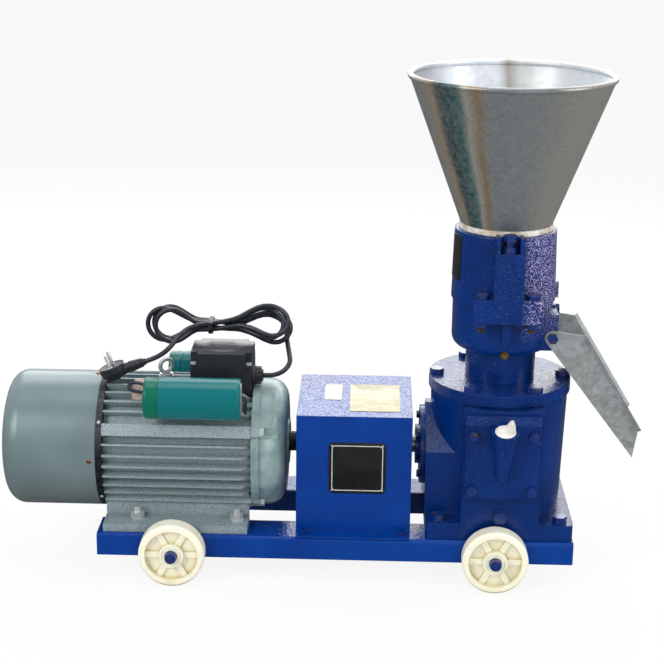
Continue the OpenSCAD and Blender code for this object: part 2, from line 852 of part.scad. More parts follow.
module terminal_box() color(BLACK) at_box() difference() {
    box_shape(box_base_h, box_t);
    difference() {
        translate([0, 0, box_t]) linear_extrude(box_base_h)
            polygon(round_rect(box_len/2 - box_t, box_w/2 - box_t, box_t/2));
        box_corners() translate([-notch/2 - cut, -notch/2 - cut, 0])
            cube([notch + 2*cut, notch + 2*cut, box_base_h + cut]);
    }
    box_corners() translate([0, 0, box_base_h - notch]) cylinder(d = lid_screw_d + 2*run_fit, h = notch + cut);
    translate([box_len/2 - box_t - cut, gland_y, gland_drop]) rod_x(cord_d, box_t + 2*cut);
}

module terminal_box_lid() color(BLACK) at_box() translate([0, 0, box_base_h]) difference() {
    linear_extrude(lid_h) polygon(round_rect(box_len/2, box_w/2, box_t));
    difference() {
        translate([0, 0, -cut]) linear_extrude(lid_h - box_t + cut)
            polygon(round_rect(box_len/2 - box_t, box_w/2 - box_t, box_t/2));
        box_corners() translate([-notch/2 - box_t, -notch/2 - box_t, -2*cut])
            cube([notch + 2*box_t, notch + 2*box_t, lid_h + cut]);
    }
    box_corners() {
        translate([-notch/2, -notch/2, box_t]) cube([notch + cut, notch + cut, lid_h]);
        translate([0, 0, -cut]) cylinder(d = lid_screw_d + 2*bolt_fit, h = lid_h);
    }
}

module lid_screws() color(ZINC) at_box() translate([0, 0, box_base_h + box_t]) box_corners() {
    cylinder(d = lid_screw_head, h = lid_screw_d/2);
    translate([0, 0, -notch]) cylinder(d = lid_screw_d, h = notch);
}

module at_gland() at_box() translate([box_len/2, gland_y, gland_drop]) children();

module cable_gland() color(BLACK) at_gland() {
    rod_x(gland_nut_r, gland_nut_t);
    difference() {
        rod_x(gland_r, gland_len - gland_nut_t/2);
        for (i = [0:11]) rotate([i*30, 0, 0]) translate([gland_nut_t, gland_r, 0])
            rod_x(cut, gland_len);
    }
    rod_x(cord_r + gland_nut_t, gland_len);
    translate([-box_t, 0, 0]) rod_x(cord_d - run_fit, box_t);
}

module eye_bolt() color(ZINC) at_motor() translate([eye_x, 0, fin_r]) {
    cylinder(r = eye_collar_r, h = eye_collar_h);
    translate([0, 0, -eye_thread]) cylinder(d = M8[0], h = eye_thread);
    translate([0, 0, eye_collar_h + eye_ring + eye_wire/2]) rotate([0, 0, eye_turn]) rotate([90, 0, 0])
        rotate_extrude() translate([eye_ring, 0]) circle(eye_wire);
}

// Capacitor with its right end on x = 0, lying along -X over the cradle that holds it to the frame
module capacitor(d, length) {
    r = d/2;
    rotate([0, -90, 0]) rotate_extrude() polygon(concat(
        [[0, 0]], arc(r - cap_round, cap_round, cap_round, -90, 0),
        [[r, length - cap_end], [r - cap_round/4, length - cap_end + cap_round/4],
         [r - cap_round/4, length - cap_end + cap_round/2], [r, length - cap_end + cap_round]],
        arc(r - cap_round, length - cap_round, cap_round, 0, 90), [[0, length]]));
}

module at_cap(side, angle, d) at_motor()
    rotate([-side*(90 - angle), 0, 0]) translate([cap_x1, 0, fin_r + gap + d/2]) children();

// Cradle between the barrel and the capacitor, as wide as a gap between two fins
module cradle(d, length) translate([-length/2 - cradle_len/2, -cradle_w/2, 0]) difference() {
    translate([0, 0, -d/2 - cradle_h]) cube([cradle_len, cradle_w, cradle_h + cradle_h/2]);
    translate([-cut, cradle_w/2, 0]) rod_x(d/2 - gap, cradle_len + 2*cut);
}

module start_capacitor() color(TEAL) at_cap(-1, start_cap_angle, start_cap_d) {
    capacitor(start_cap_d, start_cap_len);
    cradle(start_cap_d, start_cap_len);
}

module run_capacitor() color(TEAL) at_cap(1, run_cap_angle, run_cap_d) {
    capacitor(run_cap_d, run_cap_len);
    cradle(run_cap_d, run_cap_len);
}

// Coupling: two jawed hubs with a rubber spider between them

module sector(r0, r1, half) difference() {
    intersection() {
        circle(r1);
        polygon([[0, 0], [2*r1, -2*r1*tan(half)], [2*r1, 2*r1*tan(half)]]);
    }
    circle(r0);
}

// Hub whose jaws reach towards +X across x = 0
module coupling_hub(bore) difference() {
    union() {
        translate([-jaw_len/2 - hub_len, 0, 0]) rod_x(hub_neck_r, hub_neck + cut);
        translate([-jaw_len/2 - hub_len + hub_neck, 0, 0]) rod_x(hub_out_r, hub_len - hub_neck);
        translate([-jaw_len/2 - cut, 0, 0]) along_x(jaw_len + cut - gap)
            for (i = [0:jaws - 1]) rotate(i*360/jaws)
                sector(jaw_in_r, hub_out_r - cut, 180/jaws/2 - lobe_half - jaw_gap);
    }
    translate([-jaw_len/2 - hub_len - cut, 0, 0]) rod_x(bore, hub_len + 2*cut);
}

module at_coupling() at_mill() translate([couple_x, 0, shaft_z]) children();

module coupling_motor_hub() color(DARK_STEEL) at_coupling() coupling_hub(shaft_d/2);

module coupling_mill_hub() color(DARK_STEEL) at_coupling()
    rotate([0, 0, 180]) coupling_hub(in_r);

module coupling_spider() color("#8E2F28") at_coupling()
    translate([gap - jaw_len/2, 0, 0]) along_x(jaw_len - 2*gap) difference() {
        union() {
            circle(jaw_in_r - gap);
            for (i = [0:2*jaws - 1]) rotate((i + 0.5)*180/jaws)
                sector(jaw_in_r - 2*gap, hub_out_r - cut, lobe_half);
        }
        circle(in_r + gap);
    }

module coupling_guard() color(BLUE) at_mill() translate([0, 0, rail_top]) difference() {
    union() {
        translate([guard_x0, -guard_y, 0]) cube([guard_x1 - guard_x0, 2*guard_y, guard_h]);
        translate([guard_x0, -rail_out, 0]) cube([guard_x1 - guard_x0, 2*rail_out, guard_t]);
    }
    translate([guard_x0 + guard_t, guard_t - guard_y, -cut])
        cube([guard_x1 - guard_x0 - 2*guard_t, 2*guard_y - 2*guard_t, guard_h - guard_t + cut]);
    translate([guard_x0 - cut, 0, axis_h]) rod_x(guard_slot_r, guard_x1 - guard_x0 + 2*cut);
    translate([guard_x0 - cut, -guard_slot_r, -cut])
        cube([guard_x1 - guard_x0 + 2*cut, 2*guard_slot_r, axis_h + cut]);
    for (x = guard_bolt_xs(), s = [-1, 1])
        translate([x, s*guard_bolt_y(), -cut]) cylinder(r = M6[0]/2 + bolt_fit, h = guard_t + 2*cut);
}

module guard_bolts() color(BLUE_DARK) at_mill() for (x = guard_bolt_xs(), s = [-1, 1])
    translate([x, s*guard_bolt_y(), rail_top + guard_t]) bolt(M6, guard_t + rail_t + M6[2]);

// Gearbox

module gearbox_body() {
    base_top = rail_top + base_t;
    translate([0, 0, rail_top]) linear_extrude(base_t) polygon(round_rect(base_x, base_y, base_corner));
    translate([0, 0, base_top - cut])
        cylinder(r1 = body_low_r, r2 = body_top_r, h = flange_low - base_top + cut);
    translate([-ext_reach, 0, 0]) along_x(ext_reach) polygon([
        [-ext_y, base_top - cut], [-ext_y, shaft_z + ext_wall_h], [-base_corner, shaft_z + ext_ridge_h],
        [base_corner, shaft_z + ext_ridge_h], [ext_y, shaft_z + ext_wall_h], [ext_y, base_top - cut]]);
    translate([-pad_x, -base_y, base_top - cut])
        cube([2*pad_x, base_y, flange_low - pad_drop - base_top + cut]);
}

module gearbox_housing() color(BLUE) at_mill() difference() {
    gearbox_body();
    difference() {
        translate([0, 0, floor_z]) cylinder(r = cavity_r, h = flange_low - floor_z + cut);
        translate([0, 0, floor_z - cut]) cylinder(r = boss_r, h = low_bearing_w + cut);
        translate([-ext_reach, 0, shaft_z]) rod_x(boss_r, ext_reach - gear_pr - in_boss_gap);
    }
    translate([0, 0, floor_z]) cylinder(r = in_bearing_or + seat_fit, h = low_bearing_w + cut);
    translate([-ext_reach - cut, 0, shaft_z]) rod_x(in_bearing_or + seat_fit, ext_reach - cavity_r/2);
    translate([-window_x, -base_y - cut, window_z()]) cube([2*window_x, base_y - cavity_r/2, window_h]);
    for (p = cover_bolt_places()) translate([p[0], -base_y - cut, p[1]])
        rod_y(M8[0]/2 + run_fit, cover_bolt_hold + cut);
    for (a = cap_bolt_angles()) translate([-ext_reach - cut, 0, shaft_z]) rotate([a, 0, 0])
        translate([0, 0, cap_bolt_r]) rod_x(M6[0]/2 + run_fit, cap_bolt_hold + cut);
    for (a = flange_bolt_angles()) rotate([0, 0, a])
        translate([bolt_circle, 0, flange_low - flange_bolt_hold])
            cylinder(r = M10[0]/2 + run_fit, h = flange_bolt_hold + cut);
    for (x = [-foot_x, foot_x], y = [-foot_y, foot_y])
        translate([x, y, rail_top - cut]) cylinder(r = M10[0]/2 + bolt_fit, h = base_t + 2*cut);
    translate([0, -base_y - cut, drain_z()]) rod_y(M12[0]/2 + run_fit, base_y - cavity_r/2);
}

function window_z() = cover_z0() + (cover_h - window_h)/2;
function cover_z0() = rail_top + cover_low_h;
function drain_z() = rail_top + base_t + drain_h;
function cover_bolt_places() = [for (x = [-cover_bolt_x, cover_bolt_x],
    z = [cover_z0() + cover_bolt_z, cover_z0() + cover_h - cover_bolt_top]) [x, z]];
function cap_bolt_angles() = [for (i = [0:3]) 45 + 90*i];
function flange_bolt_angles() = [for (i = [0:flange_bolts - 1]) i*360/flange_bolts];

module input_bearing_cap() color(BLUE) at_mill() translate([-ext_reach, 0, shaft_z]) difference() {
    union() {
        translate([-cap_t1, 0, 0]) rod_x(cap_r1, cap_t1);
        translate([-cap_t1 - cap_t2, 0, 0]) rod_x(cap_r2 - 2*M6[1], cap_t2 + cut);
    }
    translate([-cap_t1 - cap_t2 - cut, 0, 0]) rod_x(in_r + gap, cap_t1 + cap_t2 + 2*cut);
    for (a = cap_bolt_angles()) rotate([a, 0, 0])
        translate([-cap_t1 - cut, 0, cap_bolt_r]) rod_x(M6[0]/2 + bolt_fit, cap_t1 + 2*cut);
}

// Teeth of one bevel wheel: apex at the origin, the cone opening towards +Z
function cone_point(angle, along, off) =
    [along*sin(angle) + off*cos(angle), along*cos(angle) - off*sin(angle)];

// Teeth whose flanks run to the apex, cut off by the root and tip cones
module bevel_teeth(angle, n, phase) {
    half = 180/n*tooth_share;
    inner = cone_len - face_w;
    size = inner/cone_len;
    intersection() {
        linear_extrude(cone_len) for (i = [0:n - 1]) rotate((i + phase)*360/n)
            polygon([[0, 0], [cone_len, -cone_len*tan(half)], [cone_len, cone_len*tan(half)]]);
        rotate_extrude() polygon([
            cone_point(angle, inner, -dedendum*size - fin_root/2), cone_point(angle, inner, addendum*size),
            cone_point(angle, cone_len, addendum), cone_point(angle, cone_len, -dedendum - fin_root/2)]);
    }
}

function root_out(angle) = cone_point(angle, cone_len + cut/2, -dedendum);
function root_in(angle) = cone_point(angle, cone_len - face_w - cut, -dedendum*(1 - face_w/cone_len));

module pinion_shaft() color(STEEL) at_mill() translate([0, 0, shaft_z]) {
    o = root_out(pinion_angle);
    i = root_in(pinion_angle);
    shaft_x = couple_x + jaw_len/2 + hub_len - shaft_hold;
    rotate([0, -90, 0]) {
        bevel_teeth(pinion_angle, pinion_teeth, 0);
        rotate_extrude() polygon([[0, i[1]], i, o, [o[0], -in_bearing_x - 2*in_bearing_w - gap],
                                  [0, -in_bearing_x - 2*in_bearing_w - gap]]);
    }
    translate([shaft_x, 0, 0]) rod_x(in_r, -shaft_x - o[1]);
}

module bevel_gear() color(STEEL) at_mill() translate([0, 0, shaft_z]) rotate([180, 0, 0]) {
    o = root_out(gear_angle);
    i = root_in(gear_angle);
    bevel_teeth(gear_angle, gear_teeth, 0.5);
    rotate_extrude() polygon([
        [gear_shaft_r, i[1]], i, o, [o[0], o[1] + gear_rim], [gear_hub_r, o[1] + gear_rim],
        [gear_hub_r, o[1] + gear_rim + gear_hub_h], [gear_shaft_r, o[1] + gear_rim + gear_hub_h]]);
}

function gear_low_z() = shaft_z - root_out(gear_angle)[1] - gear_rim - gear_hub_h;
function gear_top_z() = shaft_z - root_in(gear_angle)[1];

module main_shaft() color(STEEL) at_mill() difference() {
    union() {
        rotate_extrude() polygon([
            [0, floor_z + gap], [in_r, floor_z + gap], [in_r, floor_z + low_bearing_w + gap],
            [gear_shaft_r, floor_z + low_bearing_w + gap], [gear_shaft_r, gear_top_z()],
                [shoulder_r, gear_top_z()],
            [shoulder_r, flange_low - up_hub_h - gap], [up_r, flange_low - up_hub_h - gap],
            [up_r, die_z0 - die_flange_t], [die_flange_r, die_z0 - die_flange_t], [die_flange_r, die_z0],
            [die_bore_r - seat_fit, die_z0], [die_bore_r - seat_fit, die_top], [die_stud_r, die_top],
            [die_stud_r, die_top + die_nut_h + cut], [0, die_top + die_nut_h + cut]]);
        translate([0, 0, die_top]) hex(die_nut_af, die_nut_h);
    }
    translate([0, 0, die_top + die_nut_h - cut]) cylinder(r = centre_drill_r, h = 3*cut);
}

module ring(outer, inner, w) difference() {
    cylinder(r = outer, h = w);
    translate([0, 0, -cut]) cylinder(r = inner, h = w + 2*cut);
}

module gearbox_bearings() color(STEEL) at_mill() {
    for (i = [0, 1]) translate([in_bearing_x + i*in_bearing_w, 0, shaft_z]) rotate([0, 90, 0])
        ring(in_bearing_or, in_r + run_fit, in_bearing_w - gap/2);
    translate([0, 0, floor_z]) ring(in_bearing_or, in_r + run_fit, low_bearing_w);
    translate([0, 0, flange_low - up_hub_h]) ring(up_bearing_or, up_r + run_fit, up_bearing_w);
    translate([0, 0, neck_bearing_z()]) ring(up_bearing_or, up_r + run_fit, up_bearing_w);
}

function neck_bearing_z() = chamber_z0 + floor_h - neck_lip - up_bearing_w;

module inspection_cover() color(BLUE) at_mill() translate([0, -base_y, cover_z0()]) difference() {
    union() {
        translate([-cover_x, 0, 0]) rotate([90, 0, 90]) linear_extrude(2*cover_x) polygon([
            [0, 0], [-cover_plate_t, 0], [-cover_plate_t, cover_h - cover_bevel],
            [-cover_plate_t/2, cover_h], [0, cover_h]]);
        at_spout() cylinder(r1 = spout_r0, r2 = spout_r1, h = spout_len);
    }
    translate([-cover_x - cut, 0, -cut]) cube([2*cover_x + 2*cut, base_y/2, cover_h + 2*cut]);
    at_spout() translate([0, 0, spout_len - plug_depth]) cylinder(r = plug_r + run_fit, h = plug_depth + cut);
    at_spout() translate([0, 0, spout_bottom]) cylinder(r = spout_bore, h = spout_len - spout_bottom);
    translate([0, -spout_inner_y, spout_base_h + spout_bottom + spout_bore/2])
        rod_y(spout_bore - cut, spout_inner_y + cut);
    for (p = cover_bolt_places()) translate([p[0], -cover_plate_t - cut, p[1] - cover_z0()])
        rod_y(M8[0]/2 + bolt_fit, cover_plate_t + 2*cut);
}

module at_spout() translate([0, -spout_in_y, spout_base_h]) rotate([spout_tilt, 0, 0]) children();

module filler_plug() color(WHITE) at_mill() translate([0, -base_y, cover_z0()]) at_spout()
    translate([0, 0, spout_len]) {
        translate([0, 0, gap - plug_depth]) cylinder(r = plug_r, h = plug_depth);
        translate([0, 0, 0]) cylinder(r = plug_head_r, h = plug_head_t);
        translate([-wing_t/2, -plug_head_r*0.75, plug_head_t - cut]) rotate([90, 0, 90])
            linear_extrude(wing_t) polygon([[0, 0], [plug_head_r*1.5, 0], [plug_head_r*1.25, wing_h/2],
                [plug_head_r*0.5, wing_h]]);
    }

module cover_bolts() color(BLUE_DARK) at_mill() {
    for (p = cover_bolt_places()) translate([p[0], -base_y - cover_plate_t, p[1]]) rotate([90, 0, 0])
        bolt(M8, cover_plate_t + cover_bolt_hold - cut);
    for (a = cap_bolt_angles()) translate([-ext_reach - cap_t1, 0, shaft_z]) rotate([a, 0, 0])
        translate([0, 0, cap_bolt_r]) rotate([0, -90, 0]) bolt(M6, cap_t1 + cap_bolt_hold - cut);
}

module drain_plug() color(BLUE_DARK) at_mill() translate([0, -base_y, drain_z()]) rotate([90, 0, 0]) {
    cylinder(d = M12[1] + 2*cut, h = 2*cut);
    bolt([M12[0], M10[1], M12[2]], cover_bolt_hold);
}

module gearbox_foot_bolts() color(BLUE_DARK) at_mill()
    for (x = [-foot_x, foot_x], y = [-foot_y, foot_y]) translate([x, y, 0]) {
        translate([0, 0, rail_top + base_t]) cylinder(d = 2*M10[0], h = 2*cut);
        translate([0, 0, rail_top + base_t + 2*cut]) bolt(M10, base_t + rail_t + M10[2] + 3*cut);
        translate([0, 0, rail_top - rail_t - M10[2]]) hex(M10[1], M10[2]);
    }

module gearbox_top_cover() color(BLUE) at_mill() difference() {
    union() {
        translate([0, 0, flange_low]) cylinder(r = flange_r, h = flange_t);
        translate([0, 0, flange_low - up_hub_h]) cylinder(r = up_hub_r, h = up_hub_h + cut);
        translate([0, 0, flange_top - cut]) cylinder(r = neck_in_r - gap, h = register_h + cut);
    }
    translate([0, 0, flange_low - up_hub_h - cut])
        cylinder(r = up_bearing_or + seat_fit, h = up_bearing_w + cut);
    translate([0, 0, flange_low]) cylinder(r = up_r + gap, h = flange_t + register_h + cut);
    for (a = flange_bolt_angles()) rotate([0, 0, a]) translate([bolt_circle, 0, flange_low - cut])
        cylinder(r = M10[0]/2 + bolt_fit, h = flange_t + 2*cut);
}

module top_cover_bolts() color(BLUE_DARK) at_mill() for (a = flange_bolt_angles()) rotate([0, 0, a])
    translate([bolt_circle, 0, flange_top]) bolt(M10, flange_t + flange_bolt_hold - cut);

// Pelleting head

// Lug with rounded low corners across the front (side -1) or the rear of the chamber
module lug(side, z, h, up) flip_y(-side) translate([0, -head_y, z]) along_y(head_y - lug_y)
    polygon(up
        ? [[-lug_x, 0], [lug_x, 0], [lug_x, h], [-lug_x, h]]
        : concat(arc(lug_round - lug_x, lug_round, lug_round, 180, 270),
                 arc(lug_x - lug_round, lug_round, lug_round, 270, 360), [[lug_x, h], [-lug_x, h]]));

module lug_bolt_holes(z, h) for (x = [-lug_bolt_x, lug_bolt_x], y = [-lug_bolt_y, lug_bolt_y])
    translate([x, y, z]) cylinder(r = M10[0]/2 + bolt_fit, h = h);

module lower_chamber() color(BLUE) at_mill() difference() {
    union() {
        rotate_extrude() polygon(concat(
            [[0, flange_top], [neck_r, flange_top], [neck_r, chamber_z0]],
            arc(lower_r - chamber_round, chamber_z0 + chamber_round, chamber_round, -90, 0),
            [[lower_r, joint_z], [0, joint_z]]));
        for (s = [-1, 1]) {
            lug(s, joint_z - lug_low, lug_low, false);
            flip_y(-s) translate([-rib_x, -rib_y, joint_z - lug_low - rib_h])
                cube([2*rib_x, rib_y - lug_y, rib_h + cut]);
        }
        translate([lower_r/2, -spout_y, chamber_z0 + spout_z0_h])
            cube([spout_x - lower_r/2, 2*spout_y, spout_h]);
        translate([lower_r/2, -side_ear_y, knife_bolt_z() - side_ear_y])
            cube([spout_x - lower_r/2, 2*side_ear_y, 2*side_ear_y]);
    }
    rotate_extrude() polygon([
        [0, flange_top - cut], [neck_in_r, flange_top - cut], [neck_in_r, neck_bearing_z() - cut],
        [up_bearing_or + seat_fit, neck_bearing_z() - cut],
            [up_bearing_or + seat_fit, neck_bearing_z() + up_bearing_w],
        [up_r + gap, neck_bearing_z() + up_bearing_w], [up_r + gap, chamber_z0 + floor_h],
        [chamber_in_r, chamber_z0 + floor_h], [chamber_in_r, joint_z + cut], [0, joint_z + cut]]);
    difference() {
        translate([lower_r/2, spout_t - spout_y, chamber_z0 + spout_z0_h + spout_t])
            cube([spout_x, 2*spout_y - 2*spout_t, spout_h - 2*spout_t]);
        translate([lower_r/2, -side_ear_y, knife_bolt_z() - side_ear_y])
            cube([spout_x, 2*side_ear_y, 2*side_ear_y]);
    }
    lug_bolt_holes(joint_z - lug_low - cut, lug_low + 2*cut);
    translate([chamber_in_r - knife_t - cut, 0, knife_bolt_z()]) rod_x(M8[0]/2 + run_fit, spout_x);
    for (s = [-1, 1]) flip_y(-s) translate([pivot_x, -spout_y - cut, pivot_z])
        rod_y(M8[0]/2 + run_fit, spout_t + 2*cut);
    translate([0, -neck_r - lower_r, nipple_z()]) rod_y(nipple_r/3, neck_r + lower_r - up_bearing_or + cut);
    translate([0, -nipple_y - lower_r, nipple_z()]) rod_y(nipple_r + gap, lower_r);
}

function knife_bolt_z() = chamber_z0 + knife_bolt_h;
function nipple_z() = chamber_z0 + nipple_h;

module grease_nipple() color(BRASS) at_mill() translate([0, -nipple_y, nipple_z()]) rotate([90, 0, 0]) {
    hex(2*nipple_r*cos(30), nipple_len/3);
    cylinder(r = nipple_r/2, h = nipple_len*2/3);
    translate([0, 0, nipple_len*2/3]) cylinder(r1 = nipple_r/2 + cut/2, r2 = nipple_r/3, h = nipple_len/3);
    translate([0, 0, -nipple_len]) cylinder(r = nipple_r/3 - seat_fit, h = nipple_len);
}

module pellet_knife() color(STEEL) at_mill() difference() {
    union() {
        translate([knife_x0, -knife_y, die_z0 - gap - knife_t])
            cube([chamber_in_r - knife_x0 - knife_t, 2*knife_y, knife_t]);
        translate([chamber_in_r - 2*knife_t, -knife_y, knife_bolt_z() - side_ear_y])
            cube([knife_t, 2*knife_y, die_z0 - gap - knife_bolt_z() + side_ear_y]);
    }
    translate([chamber_in_r - 3*knife_t, 0, knife_bolt_z()]) rod_x(M8[0]/2 + run_fit, 3*knife_t);
}

module flat_die() color(STEEL) at_mill() translate([0, 0, die_z0]) difference() {
    cylinder(d = die_d, h = die_t);
    translate([0, 0, -cut]) cylinder(r = die_bore_r, h = die_t + 2*cut);
    for (k = [0:hole_rings - 1], i = [0:holes_per_ring - 1]) rotate([0, 0, (i + k/2)*360/holes_per_ring])
        translate([hole_first + k*hole_pitch, 0, -cut]) cylinder(d = pellet_d, h = die_t + 2*cut, $fn = 24);
}

module at_rollers() at_mill() translate([0, 0, roller_z]) children();

module roller_shaft() color(STEEL) at_rollers() {
    half = head_y - boss_wall - gap;
    translate([0, -half, 0]) rod_y(roller_shaft_r, 2*half);
    translate([0, gap - roller_y0, 0]) rod_y(collar_out_r, 2*roller_y0 - 2*gap);
    for (s = [-1, 1]) flip_y(-s) translate([0, -roller_y0 - roller_len - gap - roller_recess, 0])
        rod_y(collar_out_r - cut, roller_recess);
}

// Press roller from y = 0 towards +Y, its rim cut with flutes
module roller() difference() {
    along_y(roller_len) polygon([for (i = [0:2*flutes - 1])
        let(r = i % 2 == 0 ? roller_r : roller_r - flute_depth, a = (i + 0.5)*180/flutes)
        [r*cos(a), r*sin(a)]]);
    translate([0, -cut, 0]) rod_y(roller_shaft_r + run_fit, roller_len + 2*cut);
    for (y = [-cut, roller_len - roller_recess]) translate([0, y, 0])
        rod_y(roller_recess_r, roller_recess + cut);
}

module front_roller() color(DARK_STEEL) at_rollers() mirror([0, 1, 0]) translate([0, roller_y0, 0]) roller();
module rear_roller() color(DARK_STEEL) at_rollers() translate([0, roller_y0, 0]) roller();

// Height of the pocket's floor, where the lock nuts sit
function pocket_z() = joint_z + boss_h;

module adjusting_screw(side) color(BLUE_DARK) at_mill() translate([0, side*screw_y, 0]) {
    tip = roller_z + roller_shaft_r + run_fit;
    head = pocket_z() + lock_h + screw_free;
    translate([0, 0, tip]) cylinder(r = screw_r - run_fit, h = head - tip);
    translate([0, 0, head]) hex(M12[1], screw_head);
}

module front_screw() adjusting_screw(-1);
module rear_screw() adjusting_screw(1);

module lock_nuts() color(BLUE_DARK) at_mill() for (s = [-1, 1])
    translate([0, s*screw_y, pocket_z()]) nut([2*screw_r - 2*run_fit, M12[1], 0], lock_h);

module upper_chamber() color(BLUE) at_mill() difference() {
    union() {
        rotate_extrude() polygon([
            [0, joint_z], [chamber_r, joint_z], [chamber_r - draft, chamber_top - 2*cut],
            [chamber_r - draft - 2*cut, chamber_top], [0, chamber_top]]);
        for (s = [-1, 1]) {
            lug(s, joint_z, lug_up, true);
            flip_y(-s) translate([-boss_x, -head_y, joint_z]) cube([2*boss_x, head_y - lug_y, boss_h]);
            flip_y(-s) screw_ears();
        }
        translate([lug_y, -side_ear_y/2, joint_z]) cube([knife_bolt_x - lug_y, side_ear_y, side_ear_h]);
    }
    translate([0, 0, joint_z - cut]) cylinder(r = chamber_in_r, h = upper_h + 2*cut);
    translate([-roller_shaft_r - 2*run_fit, boss_wall - head_y, joint_z - cut])
        cube([2*roller_shaft_r + 4*run_fit, 2*head_y - 2*boss_wall, roller_z + roller_lift - joint_z + cut]);
    translate([0, boss_wall - head_y, roller_z + roller_lift])
        rod_y(roller_shaft_r + 2*run_fit, 2*head_y - 2*boss_wall);
    for (s = [-1, 1]) translate([0, s*screw_y, roller_z])
        cylinder(r = screw_r, h = pocket_z() - roller_z + cut);
    lug_bolt_holes(joint_z - cut, lug_up + 2*cut);
    for (x = [-lug_bolt_x, lug_bolt_x], y = [-lug_bolt_y, lug_bolt_y])
        translate([x, y, joint_z + lug_up - bolt_pocket])
            cylinder(r = M10[1]/2/cos(30) + gap, h = bolt_pocket + cut);
}

// Two ears beside the adjusting screw, with the pocket between them
module screw_ears() difference() {
    translate([-ear_x, -head_y + ear_back, joint_z + boss_h - cut])
        cube([2*ear_x, head_y - ear_back - ear_in_y, ear_h + cut]);
    translate([-pocket_x, -head_y, pocket_z()]) cube([2*pocket_x, head_y - ear_in_y + cut, ear_h]);
}

module chamber_bolts() color(BLUE_DARK) at_mill() {
    length = lug_up - bolt_pocket + lug_low;
    for (x = [-lug_bolt_x, lug_bolt_x], y = [-lug_bolt_y, lug_bolt_y])
        translate([x, y, joint_z + lug_up - bolt_pocket]) {
            bolt(M10, length + 2*M10[2]);
            translate([0, 0, -length - M10[2]]) hex(M10[1], M10[2]);
        }
    translate([spout_x, 0, knife_bolt_z()]) rotate([0, 90, 0]) bolt(M8, spout_x - chamber_in_r + 2*knife_t);
    for (s = [-1, 1]) flip_y(-s) translate([pivot_x, -chute_y - chute_t - gap/2, pivot_z]) rotate([90, 0, 0])
        bolt(M8, chute_t + chute_gap + gap/2 + spout_t - cut);
}

module hopper() color(GALVANISED) at_mill() translate([0, 0, chamber_top]) {
    spigot_r = chamber_in_r - gap;
    rotate_extrude() union() {
        polygon([
            [spigot_r - hopper_t, -spigot_h], [spigot_r, -spigot_h], [spigot_r, 0],
            [hopper_low_r + collar_lip, 0], [hopper_low_r + hopper_t, collar_h],
            [hopper_r, collar_h + hopper_h], [hopper_r - hopper_t, collar_h + hopper_h],
            [hopper_low_r, collar_h + hopper_t], [spigot_r - hopper_t, 0]]);
        translate([hopper_r - bead_r/2, collar_h + hopper_h]) circle(bead_r);
    }
}

// Discharge chute, drawn about its pivot

function chute_side() = let(
        slope_x = chute_reach - chute_tip_in, low = [slope_x, -chute_drop])
    concat(arc(0, 0, chute_end_r, chute_end_from, chute_end_to, 7),
           [chute_a, chute_b, low]);

module discharge_chute() color(GALVANISED) at_mill() translate([pivot_x, 0, pivot_z]) {
    low = [chute_reach - chute_tip_in, -chute_drop];
    start = arc(0, 0, chute_end_r, chute_end_from, chute_end_to, 7)[0];
    run = low - start;
    dir = run/norm(run);
    top = start + dir*(chute_floor_x - start[0])/dir[0];
    up = [-dir[1], dir[0]]*chute_t;
    for (s = [-1, 1]) flip_y(-s) {
        difference() {
            translate([0, -chute_y - chute_t, 0]) along_y(chute_t) polygon(chute_side());
            translate([0, -chute_y - chute_t - cut, 0]) rod_y(M8[0]/2 + 2*run_fit, chute_t + 2*cut);
        }
        chute_lip();
    }
    translate([0, -chute_y - chute_t/2, 0]) along_y(2*chute_y + chute_t)
        polygon([top, low, low + up, top + up]);
}

// Narrow flared lip along the long upper edge of a side wall
module chute_lip() {
    slope = atan2(chute_a[1] - chute_b[1], chute_b[0] - chute_a[0]);
    translate([chute_a[0], -chute_y, chute_a[1]]) rotate([0, slope, 0]) along_x(chute_edge)
        polygon([[0, -chute_t], [-chute_t, -chute_t], [-chute_lip_out - chute_t, chute_lip - chute_t],
                 [-chute_lip_out, chute_lip - chute_t]]);
}

// Power cord

function unit(v) = v/norm(v);
function clamp(t) = min(max(t, 0), 1);
function ease(t) = let(c = clamp(t)) c*c*(3 - 2*c);

// Half a run of one loop, from the waist at t = 0 to the middle of the end bend at t = 1
function loop_part(t, reach, r, tuck, flat) = let(
    x1 = reach - r - r*sin(tuck), q = 2*t*x1, s = (q - flat)/(x1 - flat), a = (2*t - 1)*(90 + tuck) - tuck)
    t > 0.5 ? [reach - r + r*sin(a), r*cos(a)]
    : q < flat ? [q, waist]
    : [q, (2*pow(s, 3) - 3*s*s + 1)*waist + (3*s*s - 2*pow(s, 3))*r*cos(tuck)
          + (pow(s, 3) - s*s)*tan(tuck)*(x1 - flat)];

// Middle of the cord at u quarter loops, counted from the bend over the gland
function hank_point(u) = let(
    k = floor(u) % 4, f = u - floor(u), t = k % 2 == 0 ? 1 - f : f, right = k == 0 || k == 3,
    p = right ? loop_part(t, hank_right[floor((u + 2)/4)], right_r, right_tuck, right_flat)
              : loop_part(t, hank_left[floor(u/4)], left_r, left_tuck, left_flat),
    q = right ? p[0] : -p[0], v = k > 1 ? -p[1] : p[1], n = lane*(u/4 - quarters/8),
    lean = lean_left + (lean_right - lean_left)*ease((q - lean_from)/lean_run),
    z = box_base_z + box_base_h + lid_h + hank_up
        + lift*ease((q - lift_from)/lift_run) - droop*ease((q - droop_from)/droop_run))
    [hank_x + q, hank_y + v*cos(lean) - n*sin(lean), z + v*sin(lean) + n*cos(lean)];

function hank_route() = [for (i = [0:quarters*quarter_n]) hank_point(i/quarter_n)];

